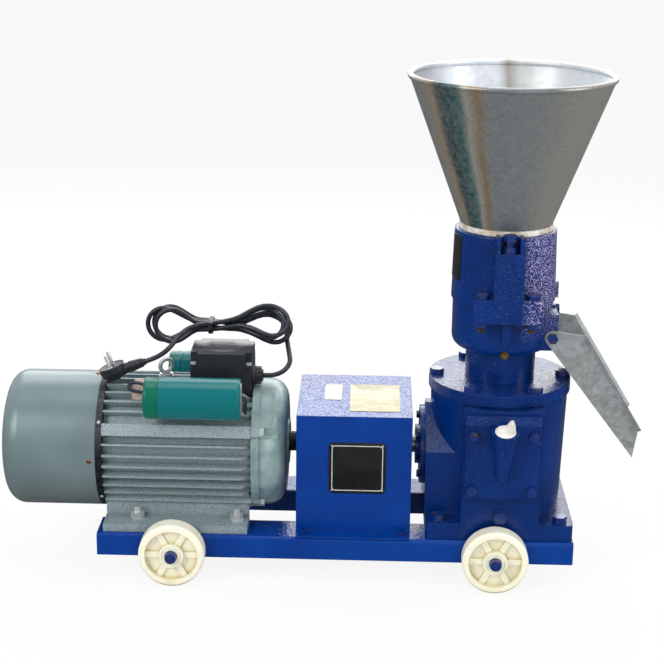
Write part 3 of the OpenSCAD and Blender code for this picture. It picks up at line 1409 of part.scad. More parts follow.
// Corner b of the path a-b-c, rounded with radius r
function bend(a, b, c, r) = let(
    u = unit(a - b), w = unit(c - b), half = acos(u*w)/2, turn = 180 - 2*half,
    mid = b + unit(u + w)*r/sin(half), from = b + u*r/tan(half) - mid, to = b + w*r/tan(half) - mid)
    [for (i = [0:bend_n]) mid + (from*sin(turn*(1 - i/bend_n)) + to*sin(turn*i/bend_n))/sin(turn)];

function lead_route() = let(
    h = hank_route(), a = [exit_x, gland_y, exit_z], b = a + [lead_out, 0, 0],
    c = h[0] - lead_in*unit(h[1] - h[0]))
    concat([a], bend(a, b, c, lead_bend), [h[0] - 2*cord_d*unit(h[1] - h[0]), h[0]]);

function relief_end() = [plug_x + relief_len*cos(plug_tilt) - relief_z*sin(plug_tilt), plug_y,
                         fin_r + plug_up + relief_len*sin(plug_tilt) + relief_z*cos(plug_tilt)];

function tail_route() = let(
    h = hank_route(), n = len(h) - 1, d = unit(h[n] - h[n - 1]), e = [cos(plug_tilt), 0, sin(plug_tilt)],
    a = h[n] + cord_d*d, z = relief_end() + cord_d*e, b = a + tail_handle*d, y = z + tail_handle*e)
    concat([h[n]], [for (i = [0:tail_n]) let(t = i/tail_n)
        pow(1 - t, 3)*a + 3*pow(1 - t, 2)*t*b + 3*(1 - t)*t*t*y + pow(t, 3)*z], [relief_end()]);

// Tube of n sides along a route, closed with a flat face at both ends
module tube(route, r, n) {
    last = len(route) - 1;
    dirs = [for (i = [0:last]) unit(
        (i > 0 ? unit(route[i] - route[i - 1]) : [0, 0, 0])
            + (i < last ? unit(route[i + 1] - route[i]) : [0, 0, 0]))];
    sides = [for (i = 0, s = unit(cross(dirs[0], [1, 1, 0])); i <= last;
        i = i + 1, s = i > last ? s : unit(s - (s*dirs[i])*dirs[i])) s];
    polyhedron(
        points = [for (i = [0:last], k = [0:n - 1])
            route[i] + r*(cos(360*k/n)*sides[i] + sin(360*k/n)*cross(dirs[i], sides[i]))],
        faces = concat([[for (k = [0:n - 1]) k]], [[for (k = [0:n - 1]) last*n + n - 1 - k]],
            [for (i = [0:last - 1], k = [0:n - 1], h = [0, 1]) let(a = i*n + k, b = i*n + (k + 1) % n)
                h == 0 ? [a, a + n, b + n] : [a, b + n, b]]));
}

// Distance between the straight pieces a-b and c-d
function piece_gap(a, b, c, d) = let(
    u = b - a, v = d - c, w = a - c, den = (u*u)*(v*v) - (u*v)*(u*v),
    s0 = den == 0 ? 0 : clamp(((u*v)*(v*w) - (v*v)*(u*w))/den), t = clamp(((u*v)*s0 + v*w)/(v*v)),
    s = clamp(((u*v)*t - u*w)/(u*u)))
    norm(w + s*u - t*v);

module cord_lead() color(CORD) at_motor() tube(lead_route(), cord_r, cord_sides);

module cord_hank() color(CORD) at_motor() {
    h = hank_route();
    echo(least_gap_in_hank = min([for (i = [0:len(h) - 10], j = [i + 8:len(h) - 2])
        piece_gap(h[i], h[i + 1], h[j], h[j + 1])]) - cord_d);
    tube(h, cord_r, hank_sides);
}

module cord_tail() color(CORD) at_motor() tube(tail_route(), cord_r, cord_sides);

// Round two-pin plug, its face on z = 0 and its ribbed strain relief towards +X
module power_plug() color(BLACK) at_motor()
    translate([plug_x, plug_y, fin_r + plug_up]) rotate([0, -plug_tilt, 0]) {
        rotate_extrude() polygon([
            [0, -plug_t], [plug_back_r, -plug_t], [plug_face_r*0.9, -plug_t*0.6], [plug_face_r, -plug_t*0.3],
            [plug_face_r, 0], [0, 0]]);
        translate([0, 0, relief_z]) rotate([0, 90, 0]) {
            cylinder(r1 = relief_r0, r2 = relief_r1, h = relief_len);
            for (x = [plug_face_r + relief_ring/2:2*relief_ring:relief_len - relief_ring])
                translate([0, 0, x]) cylinder(r = relief_r0 - (relief_r0 - relief_r1)*x/relief_len + cut, h = relief_ring);
        }
        for (s = [-1, 1]) translate([0, s*pin_gap, -cut]) cylinder(r = pin_r, h = pin_len + cut);
    }

chassis_rails();
cross_members();
wheel_motor_front();
wheel_motor_rear();
wheel_mill_front();
wheel_mill_rear();
axle_pins();
motor_frame();
drive_end_shield();
fan_end_shield();
fan_cover();
cooling_fan();
rotor_shaft();
stator_core();
motor_bearings();
shield_bolts();
motor_foot_bolts();
terminal_box();
terminal_box_lid();
lid_screws();
cable_gland();
start_capacitor();
run_capacitor();
eye_bolt();
cord_lead();
cord_hank();
cord_tail();
power_plug();
coupling_motor_hub();
coupling_spider();
coupling_mill_hub();
coupling_guard();
guard_bolts();
gearbox_housing();
input_bearing_cap();
pinion_shaft();
gearbox_bearings();
bevel_gear();
main_shaft();
inspection_cover();
filler_plug();
cover_bolts();
drain_plug();
gearbox_foot_bolts();
gearbox_top_cover();
top_cover_bolts();
lower_chamber();
grease_nipple();
pellet_knife();
flat_die();
roller_shaft();
front_roller();
rear_roller();
front_screw();
rear_screw();
lock_nuts();
upper_chamber();
chamber_bolts();
hopper();
discharge_chute();
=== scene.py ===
# %% [markdown]
# # A feed pellet mill, dressed cell by cell
# The machine is a small farm mill: a grey motor, a blue gearbox, a pelleting head with a
# hopper, and a chute, all on two blue rails with nylon wheels. Its solids arrive as a fixed
# frame in metres. This lesson gives them their paint, metal and plastic, adds the thin
# pieces that solids leave out, and lights the whole thing like a catalogue picture.

# %% Load the frame
import json
import math

import bpy
from mathutils import Matrix, Vector


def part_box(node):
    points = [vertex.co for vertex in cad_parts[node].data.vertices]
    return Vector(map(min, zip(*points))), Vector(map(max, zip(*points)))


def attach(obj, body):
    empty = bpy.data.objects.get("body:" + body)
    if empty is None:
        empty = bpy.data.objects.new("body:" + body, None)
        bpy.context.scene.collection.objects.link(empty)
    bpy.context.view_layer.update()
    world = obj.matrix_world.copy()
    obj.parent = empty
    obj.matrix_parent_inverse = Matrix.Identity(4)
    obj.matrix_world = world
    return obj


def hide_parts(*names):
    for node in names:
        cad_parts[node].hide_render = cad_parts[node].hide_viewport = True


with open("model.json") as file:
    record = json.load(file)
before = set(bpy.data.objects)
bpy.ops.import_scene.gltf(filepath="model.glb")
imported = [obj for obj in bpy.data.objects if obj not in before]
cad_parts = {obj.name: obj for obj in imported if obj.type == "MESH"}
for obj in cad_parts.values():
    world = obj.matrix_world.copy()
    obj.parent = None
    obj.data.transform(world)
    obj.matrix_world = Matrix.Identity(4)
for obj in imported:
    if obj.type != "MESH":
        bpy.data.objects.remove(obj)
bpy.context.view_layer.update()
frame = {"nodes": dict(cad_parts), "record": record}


def rounded(values, digits=3):
    return tuple(round(value, digits) for value in values)


# %% [markdown]
# Every later cell needs the same few places. They are read from the solids, so that the
# dressing follows them: the mill's upright axis is the middle of the die, and the motor is
# measured from its drive-end foot bolts and the middle of its shaft, as its maker would.
# Sizes are written in millimetres, and the unit below turns them into the frame's metres.

# %% Places on the machine
MM = 0.001
# The motor's foot bolts to the mill's axis, the hopper's seat to the chamber's highest point,
# and the radius over the motor's fins
MOTOR_TO_MILL, TOP_OVER_SEAT, FIN_R = 365, 4, 96.0


def middle(node):
    low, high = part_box(node)
    return (low + high) / 2


mill_x, mid_y, _ = middle("flat_die")
shaft_z = middle("rotor_shaft").z
motor_x = mill_x - MOTOR_TO_MILL * MM
chamber_low, chamber_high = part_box("upper_chamber")
joint_z = chamber_low.z
chamber_top = chamber_high.z - TOP_OVER_SEAT * MM
rail_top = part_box("chassis_rails")[1].z


def at_motor(x, y, z):
    """A point in millimetres from the motor's foot bolts and shaft, in the frame's metres."""
    return Vector((motor_x + x * MM, mid_y + y * MM, shaft_z + z * MM))


print("mill at x", round(mill_x, 4), "y", round(mid_y, 4), "shaft at z", round(shaft_z, 4))

# %% [markdown]
# The picture was taken from a little above the hopper's mouth, with a long lens about two
# metres away. Writing the camera as a turn, a tilt and a slight roll keeps those three
# choices readable, and the lens is stated for a 36 mm wide sensor.

# %% Camera
# Metres, then angles in radians, then the lens and the sensor in millimetres
CAMERA_PLACE = Vector((mill_x - 0.18345, mid_y - 2.13154, 0.99315))
CAMERA_TURN, CAMERA_TILT, CAMERA_ROLL = 0.025, 0.302, 0.012
CAMERA_LENS, SENSOR = 86.34, 36

forward = Vector((-math.sin(CAMERA_TURN) * math.cos(CAMERA_TILT),
                  math.cos(CAMERA_TURN) * math.cos(CAMERA_TILT), -math.sin(CAMERA_TILT)))
right = Vector((math.cos(CAMERA_TURN), math.sin(CAMERA_TURN), 0))
up = right.cross(forward)
rolled_right = math.cos(CAMERA_ROLL) * right + math.sin(CAMERA_ROLL) * up
rolled_up = math.cos(CAMERA_ROLL) * up - math.sin(CAMERA_ROLL) * right

bpy.ops.object.camera_add(location=CAMERA_PLACE)
camera = bpy.context.active_object
camera_axes = Matrix((rolled_right, rolled_up, -forward)).transposed().to_4x4()
camera.matrix_world = Matrix.Translation(CAMERA_PLACE) @ camera_axes
camera.data.lens = CAMERA_LENS
camera.data.sensor_width = SENSOR
bpy.context.scene.camera = camera
bpy.context.scene.view_settings.view_transform = "Standard"
print("camera looks along", rounded(forward))

# %% [markdown]
# ## Habits for every new piece
# New pieces are made with the same operators that the menus call. Three habits repeat for
# each of them: nothing else may be selected, the finished piece keeps its place in its mesh
# rather than in its object, and it rides on the body that carries it.

# %% Select and settle
TINY = 1e-6


def deselect():
    if bpy.context.object and bpy.context.object.mode != "OBJECT":
        bpy.ops.object.mode_set(mode="OBJECT")
    bpy.ops.object.select_all(action="DESELECT")


def pick(obj):
    deselect()
    obj.select_set(True)
    bpy.context.view_layer.objects.active = obj


def settle(obj, name, smooth=35, body="machine"):
    """Names a piece, moves its place into its mesh, smooths it and lets it ride."""
    obj.name = name
    obj.data.name = name
    pick(obj)
    bpy.ops.object.transform_apply(location=True, rotation=True, scale=True)
    bpy.ops.object.mode_set(mode="EDIT")
    bpy.ops.mesh.select_all(action="SELECT")
    bpy.ops.mesh.remove_doubles(threshold=TINY)
    bpy.ops.mesh.normals_make_consistent(inside=False)
    bpy.ops.object.mode_set(mode="OBJECT")
    bpy.ops.object.shade_smooth_by_angle(angle=math.radians(smooth))
    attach(obj, body)
    return obj


print("corners closer than", TINY, "m are merged")

# %% [markdown]
# ## The power cord
# A 7 mm rubber cord leaves the gland on the terminal box, is folded into a hank of three and
# a quarter loops over the lid, and ends in its moulded plug on the fan cover. A hank is
# stiff loops held at the waist, so each loop is written as a formula: two runs that lie
# close at the waist and a round bend at each end, leaned and stepped to the side like the
# real one. The lead and the tail are one bend and one smooth curve.

# %% Values of the cord's route, in millimetres from the motor's foot bolts and shaft
CORD_D = 7.0
BOX_END, BOX_FLOOR, BOX_H, LID_H = 18.0, 79.0, 42.0, 19.0
GLAND = Vector((BOX_END + 15, -22, BOX_FLOOR + 27))
LEAD_OUT, LEAD_IN, LEAD_BEND, LEAD_STEPS = 42.0, 16.0, 29.0, 20
TAIL_HANDLE, TAIL_STEPS = 46.0, 30
HANK = Vector((-48, 37, BOX_FLOOR + BOX_H + LID_H + 20))
RIGHT_REACH = (110, 116, 106, 113)
LEFT_REACH = (80, 88, 76, 84)
RIGHT_R, LEFT_R = 24.5, 23.5
RIGHT_TUCK, LEFT_TUCK = 6.0, 23.0
RIGHT_FLAT, LEFT_FLAT = 35.0, 13.0
WAIST, LANE = 4.4, 8.1
LEAN_LEFT, LEAN_RIGHT, LEAN_FROM, LEAN_RUN = 90.0, 40.0, -18.0, 90.0
LIFT, LIFT_FROM, LIFT_RUN = 5.0, 18.0, 58.0
DROOP, DROOP_FROM, DROOP_RUN = 5.0, 60.0, 46.0
QUARTERS, QUARTER_STEPS = 13, 20
PLUG_FACE = Vector((-180, -25, FIN_R + 20.7))
PLUG_TILT = math.radians(20.9)
RELIEF_Z, RELIEF_LEN = -10.4, 48.0
print("the hank has", QUARTERS / 4, "loops")


# %% The hank's formula
def ease(t):
    t = min(max(t, 0.0), 1.0)
    return t * t * (3 - 2 * t)


def loop_part(t, reach, radius, tuck, flat):
    """Along and across, from the waist at t = 0 to the middle of the end bend at t = 1."""
    tuck_r = math.radians(tuck)
    run = reach - radius - radius * math.sin(tuck_r)
    if t > 0.5:
        turn = math.radians((2 * t - 1) * (90 + tuck) - tuck)
        return reach - radius + radius * math.sin(turn), radius * math.cos(turn)
    along = 2 * t * run
    if along < flat:
        return along, WAIST
    s = (along - flat) / (run - flat)
    across = (2 * s ** 3 - 3 * s * s + 1) * WAIST + (3 * s * s - 2 * s ** 3) * radius * math.cos(tuck_r)
    return along, across + (s ** 3 - s * s) * math.tan(tuck_r) * (run - flat)


def hank_point(u):
    """The hank's point after u quarter loops."""
    quarter, share = int(u) % 4, u - int(u)
    t = 1 - share if quarter % 2 == 0 else share
    if quarter in (0, 3):
        along, across = loop_part(t, RIGHT_REACH[int((u + 2) // 4)], RIGHT_R, RIGHT_TUCK, RIGHT_FLAT)
    else:
        along, across = loop_part(t, LEFT_REACH[int(u // 4)], LEFT_R, LEFT_TUCK, LEFT_FLAT)
        along = -along
    if quarter > 1:
        across = -across
    side = LANE * (u / 4 - QUARTERS / 8)
    lean = math.radians(LEAN_LEFT + (LEAN_RIGHT - LEAN_LEFT) * ease((along - LEAN_FROM) / LEAN_RUN))
    rise = LIFT * ease((along - LIFT_FROM) / LIFT_RUN) - DROOP * ease((along - DROOP_FROM) / DROOP_RUN)
    return HANK + Vector((along, across * math.cos(lean) - side * math.sin(lean),
                          rise + across * math.sin(lean) + side * math.cos(lean)))


hank = [hank_point(i / QUARTER_STEPS) for i in range(QUARTERS * QUARTER_STEPS + 1)]
print("the hank has", len(hank), "points")

# %% [markdown]
# The lead bends once from the gland up into the hank. The tail runs from the hank to the
# plug's sleeve along a curve with a handle at each end, so it leaves and arrives straight.

# %% Lead, tail and the whole route
def bend(a, b, c, radius, steps):
    """The corner b of the path a-b-c, rounded with a radius."""
    u, w = (a - b).normalized(), (c - b).normalized()
    half = u.angle(w) / 2
    turn = math.pi - 2 * half
    mid = b + (u + w).normalized() * radius / math.sin(half)
    start, end = b + u * radius / math.tan(half) - mid, b + w * radius / math.tan(half) - mid
    return [mid + (start * math.sin(turn * (1 - i / steps)) + end * math.sin(turn * i / steps))
            / math.sin(turn) for i in range(steps + 1)]


def curve_point(t, start, leave, arrive, stop):
    """A point of the curve that leaves start towards one handle and reaches stop from the other."""
    return ((1 - t) ** 3 * start + 3 * t * (1 - t) ** 2 * leave
            + 3 * t * t * (1 - t) * arrive + t ** 3 * stop)


into_hank = (hank[1] - hank[0]).normalized()
out_of_hank = (hank[-1] - hank[-2]).normalized()
corner = GLAND + Vector((LEAD_OUT, 0, 0))
lead = [GLAND] + bend(GLAND, corner, hank[0] - LEAD_IN * into_hank, LEAD_BEND, LEAD_STEPS)
lead.append(hank[0] - 2 * CORD_D * into_hank)

relief_way = Vector((math.cos(PLUG_TILT), 0, math.sin(PLUG_TILT)))
pin_way = Vector((-math.sin(PLUG_TILT), 0, math.cos(PLUG_TILT)))
relief_end = PLUG_FACE + RELIEF_LEN * relief_way + RELIEF_Z * pin_way
tail_start, tail_stop = hank[-1] + CORD_D * out_of_hank, relief_end + CORD_D * relief_way
handles = (tail_start + TAIL_HANDLE * out_of_hank, tail_stop + TAIL_HANDLE * relief_way)
tail = [curve_point(i / TAIL_STEPS, tail_start, *handles, tail_stop) for i in range(TAIL_STEPS + 1)]
route = [at_motor(*point) for point in lead + hank + tail + [relief_end]]

# %% [markdown]
# A curve with a round section follows these points exactly, which keeps the cord's
# thickness everywhere. It is then turned into a mesh. The wires of the motor are made the
# same way later, so both steps are helpers.

# %% The cord itself
def round_curve(name, thickness, section):
    """A curve with a round section and closed ends, as thick as is stated in millimetres."""
    curve = bpy.data.curves.new(name, "CURVE")
    curve.dimensions = "3D"
    curve.bevel_depth = thickness / 2 * MM
    curve.bevel_resolution = section
    curve.use_fill_caps = True
    return curve


def curve_to_mesh(name, curve):
    obj = bpy.data.objects.new(name, curve)
    bpy.context.scene.collection.objects.link(obj)
    pick(obj)
    bpy.ops.object.convert(target="MESH")
    return bpy.context.active_object


cord_curve = round_curve("power_cord", CORD_D, 4)
line = cord_curve.splines.new("POLY")
line.points.add(len(route) - 1)
for point, place in zip(line.points, route):
    point.co = (*place, 1)
power_cord = settle(curve_to_mesh("power_cord", cord_curve), "power_cord", 60)
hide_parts("cord_lead", "cord_hank", "cord_tail")
print("the cord's mesh has", len(power_cord.data.polygons), "faces")

# %% [markdown]
# ## The tie
# Real pieces have no knife-sharp edges, so nearly all of them end with a bevel modifier that
# rounds the edges steeper than a stated angle. Shaping by hand goes through edit mode, where
# an operator acts on what is selected, so one helper selects by a test.

# %% Modifiers, rounded edges and edit mode
def modify(obj, kind, **settings):
    """Adds a modifier, sets it and applies it."""
    pick(obj)
    bpy.ops.object.modifier_add(type=kind)
    modifier = obj.modifiers[-1]
    for name, value in settings.items():
        setattr(modifier, name, value)
    bpy.ops.object.modifier_apply(modifier=modifier.name)


def round_edges(obj, width, segments, angle=30):
    """Rounds the edges that are steeper than an angle in degrees, by a width in millimetres."""
    modify(obj, "BEVEL", width=width * MM, segments=segments, limit_method="ANGLE",
           angle_limit=math.radians(angle))


def join(first, *others):
    pick(first)
    for other in others:
        other.select_set(True)
    bpy.ops.object.join()
    return first


def block(size, place, turn=(0, 0, 0)):
    deselect()
    bpy.ops.mesh.primitive_cube_add(size=1, location=place, rotation=turn,
                                    scale=[length * MM for length in size])
    return bpy.context.active_object


def edit_only(items, test):
    """Opens the active mesh with only those vertices or polygons selected that pass a test."""
    bpy.ops.object.mode_set(mode="EDIT")
    bpy.ops.mesh.select_all(action="DESELECT")
    bpy.ops.object.mode_set(mode="OBJECT")
    for item in getattr(bpy.context.object.data, items):
        item.select = test(item)
    bpy.ops.object.mode_set(mode="EDIT")


def close_mesh():
    bpy.ops.object.mode_set(mode="OBJECT")


print("pieces can be rounded, joined and opened")

# %% [markdown]
# The waist of the hank is held by a flat black tie. It is a ring round the bundle: a circle
# is drawn, pulled out sideways until it is as wide as the lanes, and given a width and a
# wall. The tie's head is a small block on its front.

# %% The tie round the hank
TIE_W, TIE_T, TIE_SLACK, TIE_EDGE = 6.0, 1.3, 0.5, 0.3
TIE_HEAD, HEAD_OUT, HEAD_UP, HEAD_EDGE = (8, 5, 5), 4, 7, 0.8
half_lanes = LANE * QUARTERS / 8
tie_at = at_motor(*HANK)
deselect()
bpy.ops.mesh.primitive_circle_add(vertices=48, radius=(WAIST + CORD_D / 2 + TIE_T) * MM,
                                  location=tie_at, rotation=(0, math.pi / 2, 0))
tie = bpy.context.active_object
bpy.ops.object.transform_apply(location=True, rotation=True, scale=True)
for side in (-1, 1):
    edit_only("vertices", lambda vertex: (vertex.co.y - tie_at.y) * side > TINY)
    bpy.ops.transform.translate(value=(0, side * (half_lanes - WAIST + TIE_SLACK) * MM, 0))
bpy.ops.mesh.select_all(action="SELECT")
bpy.ops.mesh.extrude_region_move(TRANSFORM_OT_translate={"value": (TIE_W * MM, 0, 0)})
close_mesh()
modify(tie, "SOLIDIFY", thickness=TIE_T * MM, offset=0)
round_edges(tie, TIE_EDGE, 2)
tie_head = block(TIE_HEAD, tie_at + Vector((TIE_W / 2 * MM, -(half_lanes + HEAD_OUT) * MM, HEAD_UP * MM)))
round_edges(tie_head, HEAD_EDGE, 2)
settle(join(tie, tie_head), "cord_tie")
print("tie is", round(tie.dimensions.y / MM), "mm wide")

# %% [markdown]
# ## The plug
# The plug is one black rubber moulding. Its round head is a cylinder: the back is inset
# twice and drawn in like a cap, and the face gets the step of the mould round its pins.

# %% Plug: the round head
PLUG_R, PLUG_T = 18.5, 19.5
BACK_STEPS, BACK_EDGE_UP, BACK_RING_UP = (1.2, 3.4), 12, 7
BACK_SHRINK = 11.0 / 13.9
FACE_RIM, FACE_STEP, FACE_DEPTH, PLUG_EDGE = 1.6, 0.6, 0.8, 0.5
plug_turn = (0, -PLUG_TILT, 0)
plug_place = Matrix.Translation(at_motor(*PLUG_FACE)) @ Matrix.Rotation(-PLUG_TILT, 4, "Y")


def cylinder(radius, depth, place, turn=(0, 0, 0), sides=48):
    deselect()
    bpy.ops.mesh.primitive_cylinder_add(vertices=sides, radius=radius * MM, depth=depth * MM,
                                        location=place, rotation=turn)
    return bpy.context.active_object


def on_plug(x, y, z):
    return plug_place @ Vector((x * MM, y * MM, z * MM))


plug = cylinder(PLUG_R, PLUG_T, on_plug(0, 0, -PLUG_T / 2), plug_turn, sides=64)
edit_only("polygons", lambda face: face.normal.z < -0.9)
for step in BACK_STEPS:
    bpy.ops.mesh.inset(thickness=step * MM, depth=0)
close_mesh()
for vertex in plug.data.vertices:
    reach = math.hypot(vertex.co.x, vertex.co.y)
    if vertex.co.z < 0 and reach > (PLUG_R - 0.1) * MM:
        vertex.co.z += BACK_EDGE_UP * MM
    elif vertex.co.z < 0 and reach > (PLUG_R - 2) * MM:
        vertex.co.z += BACK_RING_UP * MM
    elif vertex.co.z < 0:
        vertex.co.x *= BACK_SHRINK
        vertex.co.y *= BACK_SHRINK
edit_only("polygons", lambda face: face.normal.z > 0.9)
bpy.ops.mesh.inset(thickness=FACE_RIM * MM, depth=0)
bpy.ops.mesh.inset(thickness=FACE_STEP * MM, depth=-FACE_DEPTH * MM)
close_mesh()
round_edges(plug, PLUG_EDGE, 3)
print("plug face at", rounded(at_motor(*PLUG_FACE)))

# %% [markdown]
# The sleeve keeps the cord from kinking. It is a cone, cut across by bisect into even
# rings, and every second ring of faces is pushed outwards as a rib, the way the mould
# leaves them.

# %% Plug: the ribbed sleeve
SLEEVE_FROM = PLUG_R * 0.6
SLEEVE_LEN = RELIEF_LEN - SLEEVE_FROM
SLEEVE_THICK_R, SLEEVE_THIN_R, RIB_H, RIB_EDGE = 8.2, 4.6, 1.3, 0.3
RIB_FIRST_SHARE, RIB_STEP_SHARE, RIB_CUTS = 0.3, 0.058, 11
RIBS_FROM_SHARE, RIBS_TO_SHARE = 0.36, 0.93
sleeve_start = on_plug(SLEEVE_FROM, 0, RELIEF_Z)


def edit_all():
    """Opens the active mesh with all of it selected."""
    bpy.ops.object.mode_set(mode="EDIT")
    bpy.ops.mesh.select_all(action="SELECT")


def point_along(obj, direction):
    """Turns an object so that its own Z points along a direction."""
    obj.rotation_euler = Vector(direction).to_track_quat("Z", "Y").to_euler()


deselect()
bpy.ops.mesh.primitive_cone_add(vertices=32, radius1=SLEEVE_THICK_R * MM, radius2=SLEEVE_THIN_R * MM,
                                depth=SLEEVE_LEN * MM,
                                location=on_plug(SLEEVE_FROM + SLEEVE_LEN / 2, 0, RELIEF_Z))
sleeve = bpy.context.active_object
point_along(sleeve, relief_way)
bpy.ops.object.transform_apply(location=False, rotation=True, scale=True)
edit_all()
for i in range(1, RIB_CUTS + 1):
    share = RIB_FIRST_SHARE + RIB_STEP_SHARE * i
    bpy.ops.mesh.select_all(action="SELECT")
    bpy.ops.mesh.bisect(plane_co=on_plug(SLEEVE_FROM + SLEEVE_LEN * share, 0, RELIEF_Z), plane_no=relief_way)


def on_rib(face):
    share = (sleeve.matrix_world @ face.center - sleeve_start).dot(relief_way) / (SLEEVE_LEN * MM)
    second = int((share - RIB_FIRST_SHARE) / RIB_STEP_SHARE) % 2 == 1
    return RIBS_FROM_SHARE < share < RIBS_TO_SHARE and second and abs(face.normal.dot(relief_way)) < 0.5


edit_only("polygons", on_rib)
bpy.ops.mesh.extrude_region_shrink_fatten(TRANSFORM_OT_shrink_fatten={"value": RIB_H * MM})
close_mesh()
round_edges(sleeve, RIB_EDGE, 1, angle=40)
settle(join(plug, sleeve), "plug_body")
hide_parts("power_plug")
print("the sleeve is", round(SLEEVE_LEN, 1), "mm long")

# %% [markdown]
# Two round pins stand on the face, each with a small collar at its foot, and the earth
# contact is a bright strip on either side. They are plated metal, so they are one piece
# of their own.

# %% Plug: pins and earth strips
PIN_R, PIN_LEN, PIN_GAP, PIN_SUNK, PIN_EDGE = 2.4, 19.0, 9.5, 1.0, 1.0
COLLAR_OUT, COLLAR_H = 1.1, 1.2
STRIP, STRIP_SUNK, STRIP_DOWN, STRIP_EDGE = (0.9, 5, 11), 0.3, 6, 0.3
metal = []
for side in (-1, 1):
    pin_z = (PIN_LEN - PIN_SUNK) / 2
    pin = cylinder(PIN_R, PIN_LEN + PIN_SUNK, on_plug(0, side * PIN_GAP, pin_z), plug_turn, sides=24)
    round_edges(pin, PIN_EDGE, 3)
    collar_at = on_plug(0, side * PIN_GAP, -COLLAR_H / 2)
    metal += [pin, cylinder(PIN_R + COLLAR_OUT, COLLAR_H, collar_at, plug_turn, sides=24)]
for side in (-1, 1):
    strip = block(STRIP, on_plug(side * (PLUG_R - STRIP_SUNK), 0, -STRIP_DOWN), plug_turn)
    round_edges(strip, STRIP_EDGE, 2)
    metal.append(strip)
plug_pins = settle(join(*metal), "plug_pins")
print("the cord has its plug and tie")

# %% [markdown]
# ## Helpers for materials
# Materials repeat one habit too: each is a tree of nodes with settings and links. One small
# function adds any node. Colours are written as the hex values that a paint card would give
# and are turned to linear light by one other function.

# %% Colours and nodes
def linear(code):
    parts = [int(code[i:i + 2], 16) / 255 for i in (1, 3, 5)]
    return [c / 12.92 if c <= 0.04045 else ((c + 0.055) / 1.055) ** 2.4 for c in parts] + [1.0]


def link(tree, source, socket):
    """Links a socket, or a node's first socket in use, into a socket."""
    if isinstance(source, bpy.types.Node):
        source = next(output for output in source.outputs if output.enabled)
    tree.links.new(source, socket)


def add(tree, kind, values=None, links=None, **settings):
    """Adds a node with settings, values on its sockets, and links into its sockets."""
    node = tree.nodes.new("ShaderNode" + kind)
    for name, value in settings.items():
        setattr(node, name, value)
    for socket, value in (values or {}).items():
        node.inputs[socket].default_value = value
    for socket, source in (links or {}).items():
        link(tree, source, node.inputs[socket])
    return node


print("white is", linear("#FFFFFF"))

# %% [markdown]
# Three sets of values come back in most trees. A noise is set by the real size of its
# grains, a range is turned into another one, and a mix takes two colours. The mix node has
# hidden sockets for other kinds of data, so its colours are found by their number.

# %% Values for noises, ranges and mixes
FIRST, SECOND = 6, 7


def grain(size, detail=2.0):
    """Values of a noise whose grains are about a stated size in millimetres."""
    return {"Scale": 0.5 / (size * MM), "Detail": detail, "Roughness": 0.6}


def span(start, end, low=0.0, high=1.0):
    """Values that turn start..end into low..high, held at both ends."""
    return {"From Min": start, "From Max": end, "To Min": low, "To Max": high}


print("grains of 2 mm have a scale of", grain(2)["Scale"])

# %% [markdown]
# ## Floor, world and lamps
# The machine stands in a white studio. The floor is nearly plain white to the camera, with
# a tenth of real paper left in it for the soft shadow under the rails. Glossy rays see it
# dark grey, because deep blue enamel turns milky when everything round it is bright. To all
# other rays it is white paper.

# %% Floor
FLOOR_SIZE, FLOOR_BACK, FLOOR_GLOW = 24, 4, 0.9
deselect()
bpy.ops.mesh.primitive_plane_add(size=FLOOR_SIZE, location=(0, FLOOR_BACK, 0))
floor = bpy.context.active_object
floor.name = "studio_floor"
floor_white = bpy.data.materials.new("white_studio_floor")
floor_white.use_nodes = True
tree = floor_white.node_tree
rays = add(tree, "LightPath")
paper = add(tree, "BsdfDiffuse", {"Color": (0.8, 0.8, 0.8, 1)})
glow = add(tree, "Emission", {"Color": (1, 1, 1, 1), "Strength": 1.0})
grey = add(tree, "Emission", {"Color": linear("#5E646A"), "Strength": 1.0})
for_camera = add(tree, "MixShader", {"Fac": FLOOR_GLOW}, {1: paper, 2: glow})
for_gloss = add(tree, "MixShader", links={"Fac": rays.outputs["Is Glossy Ray"], 1: paper, 2: grey})
seen = add(tree, "MixShader", links={"Fac": rays.outputs["Is Camera Ray"], 1: for_gloss, 2: for_camera})
link(tree, seen, tree.nodes["Material Output"].inputs["Surface"])
floor.data.materials.append(floor_white)
print("floor is", FLOOR_SIZE, "m wide")

# %% [markdown]
# The world is white to the camera and half as bright as light. Glossy rays see a room with
# a dark front, a bright back wall and a ceiling that adds a little, which gives the enamel
# its dark body and its pale upper edges.

# %% World
world = bpy.data.worlds.new("white_studio")
bpy.context.scene.world = world
world.use_nodes = True
tree = world.node_tree
rays = add(tree, "LightPath")
way = add(tree, "TexCoord").outputs["Generated"]
sides = add(tree, "SeparateXYZ", links={"Vector": way}).outputs
wall = add(tree, "MapRange", span(-0.2, 0.6, 0.06, 0.9), {"Value": sides["Y"]})
ceiling = add(tree, "MapRange", span(0.2, 0.9, 0.0, 0.25), {"Value": sides["Z"]})
bright = add(tree, "Math", links={0: wall, 1: ceiling}, operation="ADD")
plain = add(tree, "Background", {"Color": (1, 1, 1, 1), "Strength": 0.5})
gloss = add(tree, "Background", {"Color": (0.93, 0.97, 1, 1)}, {"Strength": bright})
white = add(tree, "Background", {"Color": (1, 1, 1, 1), "Strength": 1.0})
shiny = add(tree, "MixShader", links={"Fac": rays.outputs["Is Glossy Ray"], 1: plain, 2: gloss})
shown = add(tree, "MixShader", links={"Fac": rays.outputs["Is Camera Ray"], 1: shiny, 2: white})
link(tree, shown, tree.nodes["World Output"].inputs["Surface"])
print("world has", len(tree.nodes), "nodes")

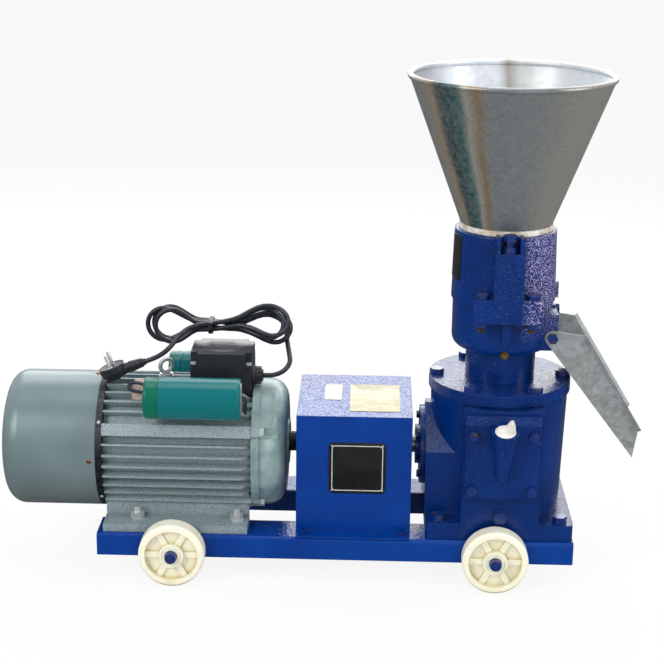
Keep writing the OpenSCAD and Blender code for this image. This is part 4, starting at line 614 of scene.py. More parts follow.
# %% [markdown]
# Six softboxes make the bright edges. The key is at the front left and the fill at the
# right. Two boxes behind the machine skim the tops of the castings, one low box in front
# opens the shadows of the chassis, and one hangs overhead. All face the middle of the
# machine, and their power is set so that a colour on a front face renders as it is written.

# %% Softboxes
LIT_POINT = Vector((0.05, 0, 0.3))
# Name, place, width and height, all in metres, and power in watts
LAMPS = (
    ("key_left", (-1.7, -1.7, 1.7), (1.1, 1.5), 34),
    ("fill_right", (2.0, -0.7, 1.2), (0.7, 1.6), 17),
    ("back_low", (0.2, 2.2, 1.1), (3.2, 0.5), 24),
    ("back_top", (0.2, 1.6, 2.0), (3.0, 0.8), 26),
    ("front_low", (0.9, -2.6, 0.7), (1.6, 0.8), 9),
    ("overhead", (0.0, -0.1, 2.4), (1.4, 1.0), 12),
)
for name, place, size, power in LAMPS:
    deselect()
    bpy.ops.object.light_add(type="AREA", location=place)
    lamp = bpy.context.active_object
    lamp.name = name
    point_along(lamp, Vector(place) - LIT_POINT)
    lamp.data.shape = "RECTANGLE"
    lamp.data.size, lamp.data.size_y = size
    lamp.data.energy = power
    lamp.visible_camera = False
print(len(LAMPS), "softboxes")

# %% [markdown]
# ## Steps of a finish
# A finish takes three steps. It starts with its colour, gloss and softened edges, it
# gets two tones in patches, since no real paint or metal is one flat colour, and its
# surface gets a relief whose grain and depth are written in millimetres.

# %% Steps of a finish
def begin(name, colour, roughness, metallic=0.0, edge=1.2):
    """Starts a finish: its tree, its shader, the object's coordinates and softened edges."""
    material = bpy.data.materials.new(name)
    material.use_nodes = True
    tree = material.node_tree
    shader = tree.nodes["Principled BSDF"]
    shader.inputs["Base Color"].default_value = linear(colour)
    shader.inputs["Roughness"].default_value = roughness
    shader.inputs["Metallic"].default_value = metallic
    material.diffuse_color = linear(colour)
    place = add(tree, "TexCoord").outputs["Object"]
    soft = add(tree, "Bevel", {"Radius": edge * MM}, samples=4)
    link(tree, soft, shader.inputs["Normal"])
    return material, tree, shader, place, soft


def patches(tree, shader, place, size, first, second, start=0.35, end=0.65, detail=2.0):
    """Two tones in patches of about a stated size, laid on the shader."""
    noise = add(tree, "TexNoise", grain(size, detail), {"Vector": place})
    share = add(tree, "MapRange", span(start, end), {"Value": noise})
    tones = {FIRST: linear(first), SECOND: linear(second)}
    tone = add(tree, "Mix", tones, {"Factor": share}, data_type="RGBA")
    link(tree, tone, shader.inputs["Base Color"])
    return tone


def roughen(tree, shader, place, normal, size, depth, detail=2.0):
    """A relief with grains of about a stated size and depth, over a normal."""
    noise = add(tree, "TexNoise", grain(size, detail), {"Vector": place})
    bump = add(tree, "Bump", {"Distance": depth * MM}, {"Height": noise, "Normal": normal})
    link(tree, bump, shader.inputs["Normal"])


def set_inputs(shader, **values):
    for name, value in values.items():
        shader.inputs[name.replace("_", " ")].default_value = value


finishes = {}
print("finishes can be begun")

# %% [markdown]
# ## Blue enamel
# The cast and welded parts are sprayed with one thick glossy enamel. On folded sheet and
# on the rails it lies smooth, with an orange peel of a few millimetres that breaks up the
# lamps' reflections. Its tone drifts a little where the coat is thicker.

# %% Enamel on sheet and rails
BLUE, BLUE_DEEP = "#003C92", "#003486"
PEEL = 2.4
enamel_sheet, tree, shader, place, soft = begin("blue_enamel_on_sheet", BLUE, 0.2, edge=1.6)
set_inputs(shader, Specular_IOR_Level=0.32, Coat_Weight=0.1, Coat_Roughness=0.06)
patches(tree, shader, place, 60, BLUE_DEEP, BLUE)
roughen(tree, shader, place, soft, PEEL, 0.88, detail=1)
finishes["blue_paint"] = enamel_sheet
print("enamel on sheet has", len(tree.nodes), "nodes")

# %% [markdown]
# On sand castings the sand's grain shows through the same enamel. It is coarsest on the
# right of the upper chamber, where its glints are painted into the colour as pale pinkish
# specks, and a few stray painted glints of pale blue lie elsewhere. Two ranges mark that side,
# from the machine's own places, and the sand's noise is let through only there, both as
# painted glints and as relief.

# %% Enamel on castings
# The last two colours are painted glints: pale specks where light catches the sand's grain
CAST_BLUE, CAST_DEEP, PAINTED_GLINT, PAINTED_STRAY_GLINT = "#002D74", "#002766", "#BDB0D4", "#8FA6DA"
SAND, STRAY_GLINT_GRAIN, SAND_DEPTH = 0.9, 0.8, 0.8
ROUGH_FROM, ROUGH_FULL, ROUGH_BELOW, ROUGH_ABOVE = 18, 30, 50, 2
enamel_cast, tree, shader, place, soft = begin("blue_enamel_on_casting", CAST_BLUE, 0.22, edge=2.0)
set_inputs(shader, Specular_IOR_Level=0.34, Coat_Weight=0.12, Coat_Roughness=0.08)
tone = patches(tree, shader, place, 45, CAST_DEEP, CAST_BLUE)
where = add(tree, "SeparateXYZ", links={"Vector": place}).outputs
right_part = span(mill_x + ROUGH_FROM * MM, mill_x + ROUGH_FULL * MM)
upper_part = span(joint_z - ROUGH_BELOW * MM, joint_z + ROUGH_ABOVE * MM)
to_right = add(tree, "MapRange", right_part, {"Value": where["X"]})
above = add(tree, "MapRange", upper_part, {"Value": where["Z"]})
rough_side = add(tree, "Math", links={0: to_right, 1: above}, operation="MULTIPLY")
sand = add(tree, "TexNoise", grain(SAND, 3), {"Vector": place})
# Painted glints: where the sand is coarse, pale pinkish specks are mixed into the colour
glints = add(tree, "MapRange", span(0.52, 0.6), {"Value": sand})
glints = add(tree, "Math", links={0: glints, 1: rough_side}, operation="MULTIPLY")
# Painted glints elsewhere: a few pale blue specks are mixed into the colour
stray_glints = add(tree, "TexNoise", grain(STRAY_GLINT_GRAIN), {"Vector": place})
stray_glints = add(tree, "MapRange", span(0.7, 0.74, 0.0, 0.7), {"Value": stray_glints})
tone = add(tree, "Mix", {SECOND: linear(PAINTED_GLINT)}, {"Factor": glints, FIRST: tone}, data_type="RGBA")
tone = add(tree, "Mix", {SECOND: linear(PAINTED_STRAY_GLINT)}, {"Factor": stray_glints, FIRST: tone}, data_type="RGBA")
link(tree, tone, shader.inputs["Base Color"])
deep = add(tree, "Math", links={0: sand, 1: rough_side}, operation="MULTIPLY")
bumped = add(tree, "Bump", {"Distance": SAND_DEPTH * MM}, {"Height": deep, "Normal": soft})
roughen(tree, shader, place, bumped, PEEL, 0.95)
print("enamel on castings has", len(tree.nodes), "nodes")

# %% [markdown]
# Bolt heads were painted with the machine and then turned by a spanner. Their enamel is
# darker, and chips down to brown primer in spots of a few millimetres.

# %% Enamel on bolts
enamel_bolt, tree, shader, place, soft = begin("blue_enamel_on_bolts", "#00276A", 0.3, edge=0.8)
set_inputs(shader, Coat_Weight=0.3)
patches(tree, shader, place, 4, "#002A70", "#4A3630", 0.56, 0.64, 3)
roughen(tree, shader, place, soft, 1.5, 0.12)
finishes["bolt_paint"] = enamel_bolt
print("enamel on bolts has", len(tree.nodes), "nodes")

# %% [markdown]
# ## Greys of the motor
# The motor's frame is sprayed with hammer-finish enamel: while it dries it pulls into small
# beads about a millimetre and a half apart, which a smooth Voronoi pattern gives as relief,
# with paler and darker specks of the same order. Between the fins a dark grey is painted in
# as shade. Ambient occlusion finds those places, because it measures how closed in a point is.

# %% Hammered grey
BEAD, BEAD_DEPTH, FIN_SHADE_REACH = 0.8, 0.35, 10
hammered, tree, shader, place, soft = begin("hammered_grey_enamel", "#8C9CA0", 0.36, 0.15, edge=0.8)
beads = add(tree, "TexVoronoi", {"Scale": 0.55 / (BEAD * MM), "Randomness": 1.0}, {"Vector": place},
            feature="SMOOTH_F1").outputs["Distance"]
tone = patches(tree, shader, place, 0.7, "#70838A", "#A9B7B9", 0.36, 0.66)
# Painted shade: ambient occlusion mixes a dark grey into the colour between the fins
shade = add(tree, "AmbientOcclusion", {"Distance": FIN_SHADE_REACH * MM}, samples=8).outputs["AO"]
shade = add(tree, "MapRange", span(0.1, 0.6, 0.2, 1.0), {"Value": shade})
tone = add(tree, "Mix", {FIRST: linear("#33434B")}, {"Factor": shade, SECOND: tone}, data_type="RGBA")
link(tree, tone, shader.inputs["Base Color"])
bump = add(tree, "Bump", {"Distance": BEAD_DEPTH * MM}, {"Height": beads, "Normal": soft})
link(tree, bump, shader.inputs["Normal"])
finishes["motor_paint"] = hammered
print("hammered grey has", len(tree.nodes), "nodes")

# %% [markdown]
# The bearing shield at the drive end is a smoother casting under a greener grey, with soft
# worn patches and only a shallow grain.

# %% Shield grey
shield_grey, tree, shader, place, soft = begin("grey_enamel_on_shield", "#8AA09F", 0.3, 0.1, edge=2.0)
patches(tree, shader, place, 14, "#748D8E", "#9DB2B1", 0.35, 0.7, 3)
roughen(tree, shader, place, soft, 1.6, 0.2)
print("shield grey has", len(tree.nodes), "nodes")

# %% [markdown]
# The fan cover is pressed sheet under a smooth grey-green enamel. Towards the bottom a darker,
# warmer grey is mixed in by height, from the shaft downwards.

# %% Smooth cover grey
DARK_LOW, DARK_HIGH = 90, 15
cover_grey, tree, shader, place, soft = begin("smooth_grey_green_enamel", "#6E8082", 0.33, 0.15, edge=1.6)
tone = patches(tree, shader, place, 60, "#65777A", "#76888A", 0.35, 0.7)
# Darker and warmer towards the bottom, mixed in by height below the shaft
height = add(tree, "SeparateXYZ", links={"Vector": place}).outputs["Z"]
dark_zone = span(shaft_z - DARK_LOW * MM, shaft_z - DARK_HIGH * MM, 0.7, 0.0)
darker_share = add(tree, "MapRange", dark_zone, {"Value": height})
tone = add(tree, "Mix", {SECOND: linear("#595C55")}, {"Factor": darker_share, FIRST: tone}, data_type="RGBA")
link(tree, tone, shader.inputs["Base Color"])
roughen(tree, shader, place, soft, 4, 0.03, detail=1)
finishes["cover_paint"] = cover_grey
print("cover grey has", len(tree.nodes), "nodes")

# %% [markdown]
# ## Bare metals
# Zinc plating is pale, slightly blue and blurred, with a fine mottle. Machined steel is a
# little darker with turned rings too fine to see. The rollers and hubs are bare iron,
# nearly black in their pores. Brass and copper appear as two tiny accents. A metal keeps
# the default index of refraction, so colour and roughness tell these apart. Zinc is less
# than fully metallic, because its dull film hides part of the metal.

# %% Zinc, steel, iron, brass and copper
METAL_GRAIN = 1.2
# Slot, name, pale and deep tone, roughness, metallic, size of patches and depth of grain in mm
METALS = (
    ("zinc", "zinc_plated_steel", "#E4E8EA", "#C4C9CC", 0.28, 0.6, 6, 0.05),
    ("steel", "machined_steel", "#9A9EA1", "#7F8487", 0.28, 1.0, 8, 0.03),
    ("dark_steel", "bare_cast_iron", "#5C5E60", "#3B3D40", 0.5, 1.0, 3, 0.2),
    ("brass", "bare_brass", "#D8B45C", "#B08A38", 0.25, 1.0, 3, 0.05),
    ("copper", "copper", "#C0754A", "#8E4E2C", 0.35, 1.0, 3, 0.05),
)
for slot, name, pale, deep, rough, metallic, patch, depth in METALS:
    metal, tree, shader, place, soft = begin(name, pale, rough, metallic, edge=0.5)
    mottle = add(tree, "TexNoise", grain(patch, 3), {"Vector": place})
    share = add(tree, "MapRange", span(0.35, 0.7), {"Value": mottle})
    tones = {FIRST: linear(deep), SECOND: linear(pale)}
    link(tree, add(tree, "Mix", tones, {"Factor": share}, data_type="RGBA"), shader.inputs["Base Color"])
    blur = add(tree, "MapRange", span(0, 1, rough + 0.1, rough), {"Value": mottle})
    link(tree, blur, shader.inputs["Roughness"])
    roughen(tree, shader, place, soft, METAL_GRAIN, depth)
    finishes[slot] = metal
print(len(METALS), "bare metals")

# %% [markdown]
# Hot-dip galvanised sheet shows spangle: zinc crystals about 7 mm wide that each lean
# their own way, so neighbours reflect a little lighter or darker. On the chute it has
# dulled to a matte blotched grey, so the crystals are mixed with a softer noise.

# %% Galvanised chute
CRYSTAL, BLOT = 3.5, 5
dull_zinc, tree, shader, place, soft = begin("dull_galvanised_sheet", "#A3AAAC", 0.5, 0.5, edge=0.5)
crystal = add(tree, "TexVoronoi", {"Scale": 0.5 / (CRYSTAL * MM)}, {"Vector": place}).outputs["Color"]
crystal = add(tree, "SeparateColor", links={"Color": crystal}).outputs["Red"]
blot = add(tree, "TexNoise", grain(BLOT, 4), {"Vector": place})
mixed = add(tree, "Mix", {"Factor": 0.75}, {2: crystal, 3: blot})
share = add(tree, "MapRange", span(0.3, 0.7), {"Value": mixed})
tones = {FIRST: linear("#939897"), SECOND: linear("#B5BABB")}
tone = add(tree, "Mix", tones, {"Factor": share}, data_type="RGBA")
link(tree, tone, shader.inputs["Base Color"])
blur = add(tree, "MapRange", span(0, 1, 0.45, 0.55), {"Value": crystal})
link(tree, blur, shader.inputs["Roughness"])
bump = add(tree, "Bump", {"Distance": 0.12 * MM}, {"Height": blot, "Normal": soft})
link(tree, bump, shader.inputs["Normal"])
finishes["galvanised"] = dull_zinc
print("the chute's sheet has", len(tree.nodes), "nodes")

# %% [markdown]
# The hopper's sheet is newer and still mirrors the room round it in blurred upright
# streaks, because it was rolled round its cone. That room isn't in the scene, so the
# streaks are part of the finish: their colours change with the sideways direction from the
# hopper's axis. The true normal tells the outside from the inside, which has streaks of
# its own. This cell works out the directions, and the next one lays the colours on them.

# %% Galvanised hopper: directions
bright_zinc, tree, shader, place, soft = begin("bright_galvanised_sheet", "#B9BFC2", 0.3, 0.6, edge=0.6)
from_axis = add(tree, "Mapping", {"Location": (-mill_x, -mid_y, 0)}, {"Vector": place})
radial = add(tree, "VectorMath", {1: (1, 1, 0)}, {0: from_axis}, operation="MULTIPLY")
radial = add(tree, "VectorMath", links={0: radial}, operation="NORMALIZE")
true_normal = add(tree, "NewGeometry").outputs["True Normal"]
outward = add(tree, "VectorMath", links={0: radial, 1: true_normal}, operation="DOT_PRODUCT")
outside = add(tree, "MapRange", span(-0.1, 0.1), {"Value": outward.outputs["Value"]})
sideways = add(tree, "SeparateXYZ", links={"Vector": radial}).outputs["X"]
wobble = add(tree, "TexNoise", grain(45), {"Vector": place})
wobble = add(tree, "MapRange", span(0, 1, -0.06, 0.06), {"Value": wobble})
sideways = add(tree, "Math", links={0: sideways, 1: wobble}, operation="ADD")
across = add(tree, "MapRange", span(-1, 1), {"Value": sideways})
print("the hopper's directions take", len(tree.nodes), "nodes")

# %% Galvanised hopper: streaks
# Share of the way from left to right, and the colour there, first and last stop first
OUTER_STREAKS = ((0.0, "#8D8F90"), (1.0, "#A09C93"), (0.08, "#A08E74"), (0.11, "#39454A"),
                 (0.2, "#34605F"), (0.24, "#A5A298"), (0.29, "#8F7757"), (0.34, "#85898B"),
                 (0.6, "#858A8C"), (0.8, "#9C9990"))
INNER_STREAKS = ((0.0, "#8E8A94"), (1.0, "#D7DEE4"), (0.17, "#EEF3FB"), (0.46, "#F2F6FF"),
                 (0.52, "#A9A59C"), (0.58, "#D9DDDC"))


def set_stops(colour_ramp, stops):
    for i, (position, colour) in enumerate(stops):
        stop = colour_ramp.elements[i] if i < 2 else colour_ramp.elements.new(position)
        stop.position = position
        stop.color = linear(colour)


outer = add(tree, "ValToRGB", links={"Fac": across})
inner = add(tree, "ValToRGB", links={"Fac": across})
set_stops(outer.color_ramp, OUTER_STREAKS)
set_stops(inner.color_ramp, INNER_STREAKS)
tone = add(tree, "Mix", links={"Factor": outside, FIRST: inner, SECOND: outer}, data_type="RGBA")
mottle = add(tree, "TexNoise", grain(4, 4), {"Vector": place})
mottle = add(tree, "MapRange", span(0.35, 0.75, 0.0, 0.4), {"Value": mottle})
tone = add(tree, "Mix", {SECOND: linear("#B0B0AC")}, {"Factor": mottle, FIRST: tone}, data_type="RGBA")
link(tree, tone, shader.inputs["Base Color"])
plated = add(tree, "MapRange", span(0, 1, 0.15, 0.55), {"Value": outside})
link(tree, plated, shader.inputs["Metallic"])
blur = add(tree, "TexNoise", grain(2), {"Vector": place})
blur = add(tree, "MapRange", span(0.3, 0.7, 0.26, 0.42), {"Value": blur})
link(tree, blur, shader.inputs["Roughness"])
roughen(tree, shader, place, soft, 3, 0.04)
print("the hopper's sheet has", len(tree.nodes), "nodes")

# %% [markdown]
# ## Plastics, rubber and labels
# The wheels are cast nylon, ivory and slightly clear, so light soaks in, and their recesses
# are painted warmer and darker as shade. Light stains of handling lie over it in wide soft patches.

# %% Nylon wheels
RECESS_SHADE_REACH, SOAK = 22, 3
nylon, tree, shader, place, soft = begin("ivory_cast_nylon", "#F2EFD2", 0.38, edge=1.6)
set_inputs(shader, Subsurface_Weight=0.25, Subsurface_Scale=SOAK * MM)
# Painted shade: ambient occlusion turns the recesses a darker, warmer ivory
shade = add(tree, "AmbientOcclusion", {"Distance": RECESS_SHADE_REACH * MM}, samples=8).outputs["AO"]
shade = add(tree, "MapRange", span(0.1, 0.75), {"Value": shade})
tones = {FIRST: linear("#D6C48A"), SECOND: linear("#F8F5E0")}
tone = add(tree, "Mix", tones, {"Factor": shade}, data_type="RGBA")
stain = add(tree, "TexNoise", grain(12, 4), {"Vector": place})
stain = add(tree, "MapRange", span(0.6, 0.8, 0.0, 0.4), {"Value": stain})
tone = add(tree, "Mix", {SECOND: linear("#D9CDA0")}, {"Factor": stain, FIRST: tone}, data_type="RGBA")
link(tree, tone, shader.inputs["Base Color"])
roughen(tree, shader, place, soft, 5, 0.1)
finishes["nylon"] = nylon
print("nylon has", len(tree.nodes), "nodes")

# %% [markdown]
# The capacitors' cases are glossy teal plastic with a greener cap at the left end. The
# change of colour is a sharp line across the case, so it is found by its place.

# %% Teal plastic
CAP_END, CAP_LINE = 20.5, 0.5
TEAL, TEAL_CAP = "#00686C", "#006550"
teal, tree, shader, place, soft = begin("teal_capacitor_plastic", TEAL, 0.26, edge=0.8)
set_inputs(shader, Specular_IOR_Level=0.35)
case_x = add(tree, "SeparateXYZ", links={"Vector": place}).outputs["X"]
line_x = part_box("start_capacitor")[0].x + CAP_END * MM
green_end = add(tree, "MapRange", span(line_x, line_x + CAP_LINE * MM, 1.0, 0.0), {"Value": case_x})
tones = {FIRST: linear(TEAL), SECOND: linear(TEAL_CAP)}
tone = add(tree, "Mix", tones, {"Factor": green_end}, data_type="RGBA")
link(tree, tone, shader.inputs["Base Color"])
roughen(tree, shader, place, soft, 7, 0.05)
finishes["teal_plastic"] = teal
print("teal has", len(tree.nodes), "nodes")

# %% [markdown]
# The small finishes need no more than two tones and a grain, so one function makes them
# all. The terminal box is matte black phenolic, the cord a soft black rubber with a bluish
# sheen, and the filler plug white polypropylene. Plates that carried print stay bare foil.
# The sealing cord is woven and a little soiled, and the thread ends below the chamber rust.

# %% Small finishes
def two_tone(name, pale, deep, roughness, metallic, edge, patch, start, pit, depth):
    """A finish with two tones in patches and a grain, its sizes in millimetres."""
    finish, tree, shader, place, soft = begin(name, pale, roughness, metallic, edge)
    patches(tree, shader, place, patch, deep, pale, start, 0.65, 3)
    roughen(tree, shader, place, soft, pit, depth)
    return finish


# Name, pale and deep tone, roughness, metallic, edge, patch, start of the pale tone, grain, depth
PLASTICS = {
    "black_plastic": ("matte_black_phenolic", "#26272D", "#1A1B20", 0.45, 0.0, 0.8, 3.6, 0.35, 0.9, 0.12),
    "cord_black": ("black_rubber_sheath", "#2A2D38", "#1D2029", 0.36, 0.0, 0.3, 6.0, 0.35, 1.5, 0.03),
    "spider_rubber": ("red_coupling_rubber", "#943A2F", "#7A2B24", 0.55, 0.0, 0.8, 8.0, 0.35, 2.0, 0.05),
    "white_plastic": ("white_polypropylene", "#F0EEE6", "#DAD7CC", 0.4, 0.0, 0.8, 16.0, 0.35, 4.0, 0.05),
}
for slot, values in PLASTICS.items():
    finishes[slot] = two_tone(*values)
foil_black = two_tone("anodised_black_foil", "#202022", "#141416", 0.35, 0.0, 0.3, 20, 0.4, 20 / 3, 0.02)
foil_beige = two_tone("lacquered_beige_foil", "#C9BF9F", "#B3A98B", 0.35, 0.2, 0.3, 6, 0.4, 2, 0.03)
foil_pink = two_tone("printed_rose_foil", "#C3AFA0", "#8E7D74", 0.4, 0.1, 0.3, 2, 0.4, 2 / 3, 0.05)
foil_edge = two_tone("pale_foil_edge", "#D8D8D4", "#C4C4C0", 0.35, 0.1, 0.3, 8, 0.4, 8 / 3, 0.02)
ring_white = two_tone("white_sealing_cord", "#E6E5DE", "#B9A894", 0.7, 0.0, 0.3, 7, 0.4, 7 / 3, 0.15)
rusty = two_tone("rusted_bolt_thread", "#5A3A2A", "#33251F", 0.8, 0.2, 0.3, 3, 0.4, 1, 0.3)
print(len(finishes), "finishes by slot")

# %% [markdown]
# The lid is glossier than its box and carries a rough oval where the casting was marked.
# Its pattern is centred on the lid and squashed, so that the distance from the middle
# reaches 1 on the oval's edge, and a coarse noise is let through only inside.

# %% Lid with its rough cast patch
OVAL = (33, 24, 20)
PATCH_GRAIN, PATCH_DEPTH = 3.2, 1.6
lid_black, tree, shader, place, soft = begin("black_phenolic_lid", "#2A2B31", 0.3, edge=1.4)
lid_low, lid_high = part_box("terminal_box_lid")
lid_mid = (lid_low + lid_high) / 2
centred = add(tree, "Mapping", {"Location": (-lid_mid.x, -lid_mid.y, -lid_high.z)}, {"Vector": place})
oval = add(tree, "Mapping", {"Scale": [1 / (half * MM) for half in OVAL]}, {"Vector": centred})
reach = add(tree, "VectorMath", links={0: oval}, operation="LENGTH").outputs["Value"]
inside = add(tree, "MapRange", span(0.75, 1.0, 1.0, 0.0), {"Value": reach})
coarse = add(tree, "TexNoise", grain(PATCH_GRAIN, 3), {"Vector": place})
rough_cast = add(tree, "Math", links={0: inside, 1: coarse}, operation="MULTIPLY")
bumped = add(tree, "Bump", {"Distance": PATCH_DEPTH * MM}, {"Height": rough_cast, "Normal": soft})
roughen(tree, shader, place, bumped, 0.9, 0.08)
print("the lid has", len(tree.nodes), "nodes")

# %% [markdown]
# ## Dressing the solids
# Each solid already names the slot of its finish in the machine's record, so one loop can
# dress them all. A few solids then get a finish of their own: castings, the shield, the
# hopper, the lid and the bare shaft that shows at the coupling.

# %% Give every solid its finish
def dress(obj, finish):
    obj.data.materials.clear()
    obj.data.materials.append(finish)


for part in frame["record"]["subparts"]:
    dress(frame["nodes"][part["node"]], finishes[part["material_slot"]])
OWN_FINISHES = {
    "upper_chamber": enamel_cast, "lower_chamber": enamel_cast, "gearbox_housing": enamel_cast,
    "gearbox_top_cover": enamel_cast, "inspection_cover": enamel_cast, "drive_end_shield": shield_grey,
    "hopper": bright_zinc, "rotor_shaft": finishes["dark_steel"], "terminal_box_lid": lid_black,
}
for node, finish in OWN_FINISHES.items():
    dress(frame["nodes"][node], finish)
dress(power_cord, finishes["cord_black"])
dress(tie, finishes["black_plastic"])
dress(plug, finishes["black_plastic"])
dress(plug_pins, finishes["zinc"])

# %% [markdown]
# ## Thin pieces
# A white cord seals the joint between hopper and chamber. It is a short sleeve, so it is
# made from a cone without ends and given a wall.

# %% Sealing ring
RING_LOW_R, RING_HIGH_R, RING_H, RING_T, RING_GAP, RING_EDGE = 65.2, 63.9, 7.4, 1.0, 0.15, 0.4
deselect()
bpy.ops.mesh.primitive_cone_add(vertices=128, radius1=RING_LOW_R * MM, radius2=RING_HIGH_R * MM,
                                depth=RING_H * MM, end_fill_type="NOTHING",
                                location=(mill_x, mid_y, chamber_top + (RING_H / 2 + RING_GAP) * MM))
ring = bpy.context.active_object
modify(ring, "SOLIDIFY", thickness=RING_T * MM, offset=-1)
round_edges(ring, RING_EDGE, 3)
settle(ring, "hopper_sealing_ring")
dress(ring, ring_white)
print("the ring is", RING_H, "mm high")

# %% [markdown]
# The moulded wheels have a web between their spokes and a small cap round the pin. Web and
# cap are flat rings: a circle's edge is extruded, widened and given a wall. They turn with
# their wheel. The pin's painted end in the middle stays still, so it rides the machine. It
# stands proud at the front, where it shows, and lies flush at the back.

# %% Wheel webs, caps and pin ends
# Inner radius, outer radius and thickness of a ring
WEB, CAP = (16.2, 37.2, 9.0), (8.4, 12.95, 2.8)
CAP_OUT, WEB_EDGE = 11.6, 0.5
PIN_END_R, PIN_END_LEN, PIN_END_OUT, PIN_PROUD, PIN_END_EDGE = 8.0, 3.0, 11.5, 8.0, 1.0


def flat_ring(name, centre, inner, outer, thick, body):
    """A nylon ring in the plane of a wheel."""
    deselect()
    bpy.ops.mesh.primitive_circle_add(vertices=64, radius=inner * MM)
    circle = bpy.context.active_object
    edit_all()
    bpy.ops.mesh.extrude_region_move()
    bpy.ops.transform.resize(value=(outer / inner, outer / inner, 1))
    close_mesh()
    modify(circle, "SOLIDIFY", thickness=thick * MM, offset=0)
    round_edges(circle, WEB_EDGE, 3)
    circle.rotation_euler = (math.pi / 2, 0, 0)
    circle.location = centre
    settle(circle, name, body=body)
    dress(circle, nylon)


for wheel in ("wheel_motor_front", "wheel_motor_rear", "wheel_mill_front", "wheel_mill_rear"):
    centre = middle(wheel)
    side = 1 if centre.y > mid_y else -1
    proud = PIN_PROUD if side < 0 else 0.0
    flat_ring(wheel + "_web", centre, *WEB, wheel)
    flat_ring(wheel + "_cap", centre + Vector((0, side * CAP_OUT * MM, 0)), *CAP, wheel)
    end_at = centre + Vector((0, side * (PIN_END_OUT + proud / 2) * MM, 0))
    pin_end = cylinder(PIN_END_R, PIN_END_LEN + proud, end_at, (math.pi / 2, 0, 0))
    round_edges(pin_end, PIN_END_EDGE, 3)
    settle(pin_end, wheel.replace("wheel", "pin_end"))
    dress(pin_end, enamel_bolt)
print("webs, caps and pin ends are on")

# %% [markdown]
# The filler plug is one moulding: a stopper, a head, and a grip like a shark's fin that
# rises to its right. The fin is a drawn outline, extruded and rounded. All three lean with
# the gearbox's spout.

# %% Filler plug
SPOUT_TILT = math.radians(17.8)
HEAD_FRONT, HEAD_DROP = 138.6, 13.8
# Radius, thickness, depth of the middle under the head's top, and rounding of its edges
DISCS = ((14.3, 5, 2.5, 1.6), (12.9, 12, 10.7, 0.8))
FIN = ((-12.8, -1), (12.8, -1), (12.6, 8), (10.6, 15.5), (8, 17), (5, 14.5), (1, 8), (-6, 4.5), (-11.5, 2.5))
FIN_T, FIN_EDGE = 9.0, 2.2
spout_turn = (SPOUT_TILT, 0, 0)
spout_way = Vector((0, -math.sin(SPOUT_TILT), math.cos(SPOUT_TILT)))
head_top = Vector((mill_x, mid_y - HEAD_FRONT * MM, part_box("filler_plug")[1].z - HEAD_DROP * MM))


def drawn(name, points, edges, faces):
    """A mesh from drawn points, picked."""
    mesh = bpy.data.meshes.new(name)
    mesh.from_pydata(points, edges, faces)
    obj = bpy.data.objects.new(name, mesh)
    bpy.context.scene.collection.objects.link(obj)
    pick(obj)
    return obj


stopper = []
for radius, thick, drop, rounding in DISCS:
    disc = cylinder(radius, thick, head_top - drop * MM * spout_way, spout_turn, sides=64)
    round_edges(disc, rounding, 4)
    stopper.append(disc)
fin_points = [(x * MM, -FIN_T / 2 * MM, z * MM) for x, z in FIN]
fin = drawn("filler_plug_fin", fin_points, [], [range(len(FIN))])
edit_all()
bpy.ops.mesh.extrude_region_move(TRANSFORM_OT_translate={"value": (0, FIN_T * MM, 0)})
bpy.ops.mesh.select_all(action="SELECT")
bpy.ops.mesh.normals_make_consistent(inside=False)
close_mesh()
round_edges(fin, FIN_EDGE, 5, angle=20)
fin.rotation_euler = spout_turn
fin.location = head_top
moulded_plug = settle(join(*stopper, fin), "moulded_filler_plug", 50)
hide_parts("filler_plug")
dress(moulded_plug, finishes["white_plastic"])
print("filler plug stands on the spout")

# %% [markdown]
# Plates on flat sheet start as a rectangle: its corners are rounded, and it gets a thickness
# and a fine bevel. The plates are bare, and the one on the guard's front keeps its pale
# outline as a thin raised frame, which is the same rectangle with its middle taken out.

# %% Flat plates on the guard
PLATE_T, PLATE_EDGE = 0.6, 0.15
UPRIGHT, LYING = (math.pi / 2, 0, 0), (0, 0, 0)
FRONT_PLATE, FRONT_CORNER, FRONT_RIGHT, FRONT_Z = (79, 75), 7, 84.5, 160
OUTLINE, OUTLINE_CORNER, OUTLINE_W, OUTLINE_T = (71, 67), 5, 1.3, 0.4
TOP_PLATE, TOP_RIGHT, TOP_BACK = (70, 112), 107.5, -10.3
SMALL_PLATE, SMALL_RIGHT, SMALL_BACK, TOP_CORNER = (24, 66), 48.5, 11.7, 2
GUARD_HALF = 88
guard_low, guard_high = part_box("coupling_guard")


def rounded_rectangle(size, corner):
    deselect()
    bpy.ops.mesh.primitive_plane_add(size=1)
    plate = bpy.context.active_object
    plate.scale = (size[0] * MM, size[1] * MM, 1)
    bpy.ops.object.transform_apply(scale=True)
    modify(plate, "BEVEL", affect="VERTICES", width=corner * MM, segments=6, limit_method="NONE")
    return plate


def place_plate(plate, name, centre, turn, finish):
    plate.rotation_euler = turn
    plate.location = centre
    settle(plate, name)
    dress(plate, finish)


def flat_plate(name, centre, size, corner, turn, finish):
    """A thin plate with rounded corners, its back on a surface."""
    plate = rounded_rectangle(size, corner)
    edit_all()
    bpy.ops.mesh.extrude_region_move(TRANSFORM_OT_translate={"value": (0, 0, PLATE_T * MM)})
    close_mesh()
    round_edges(plate, PLATE_EDGE, 2, angle=60)
    place_plate(plate, name, centre, turn, finish)


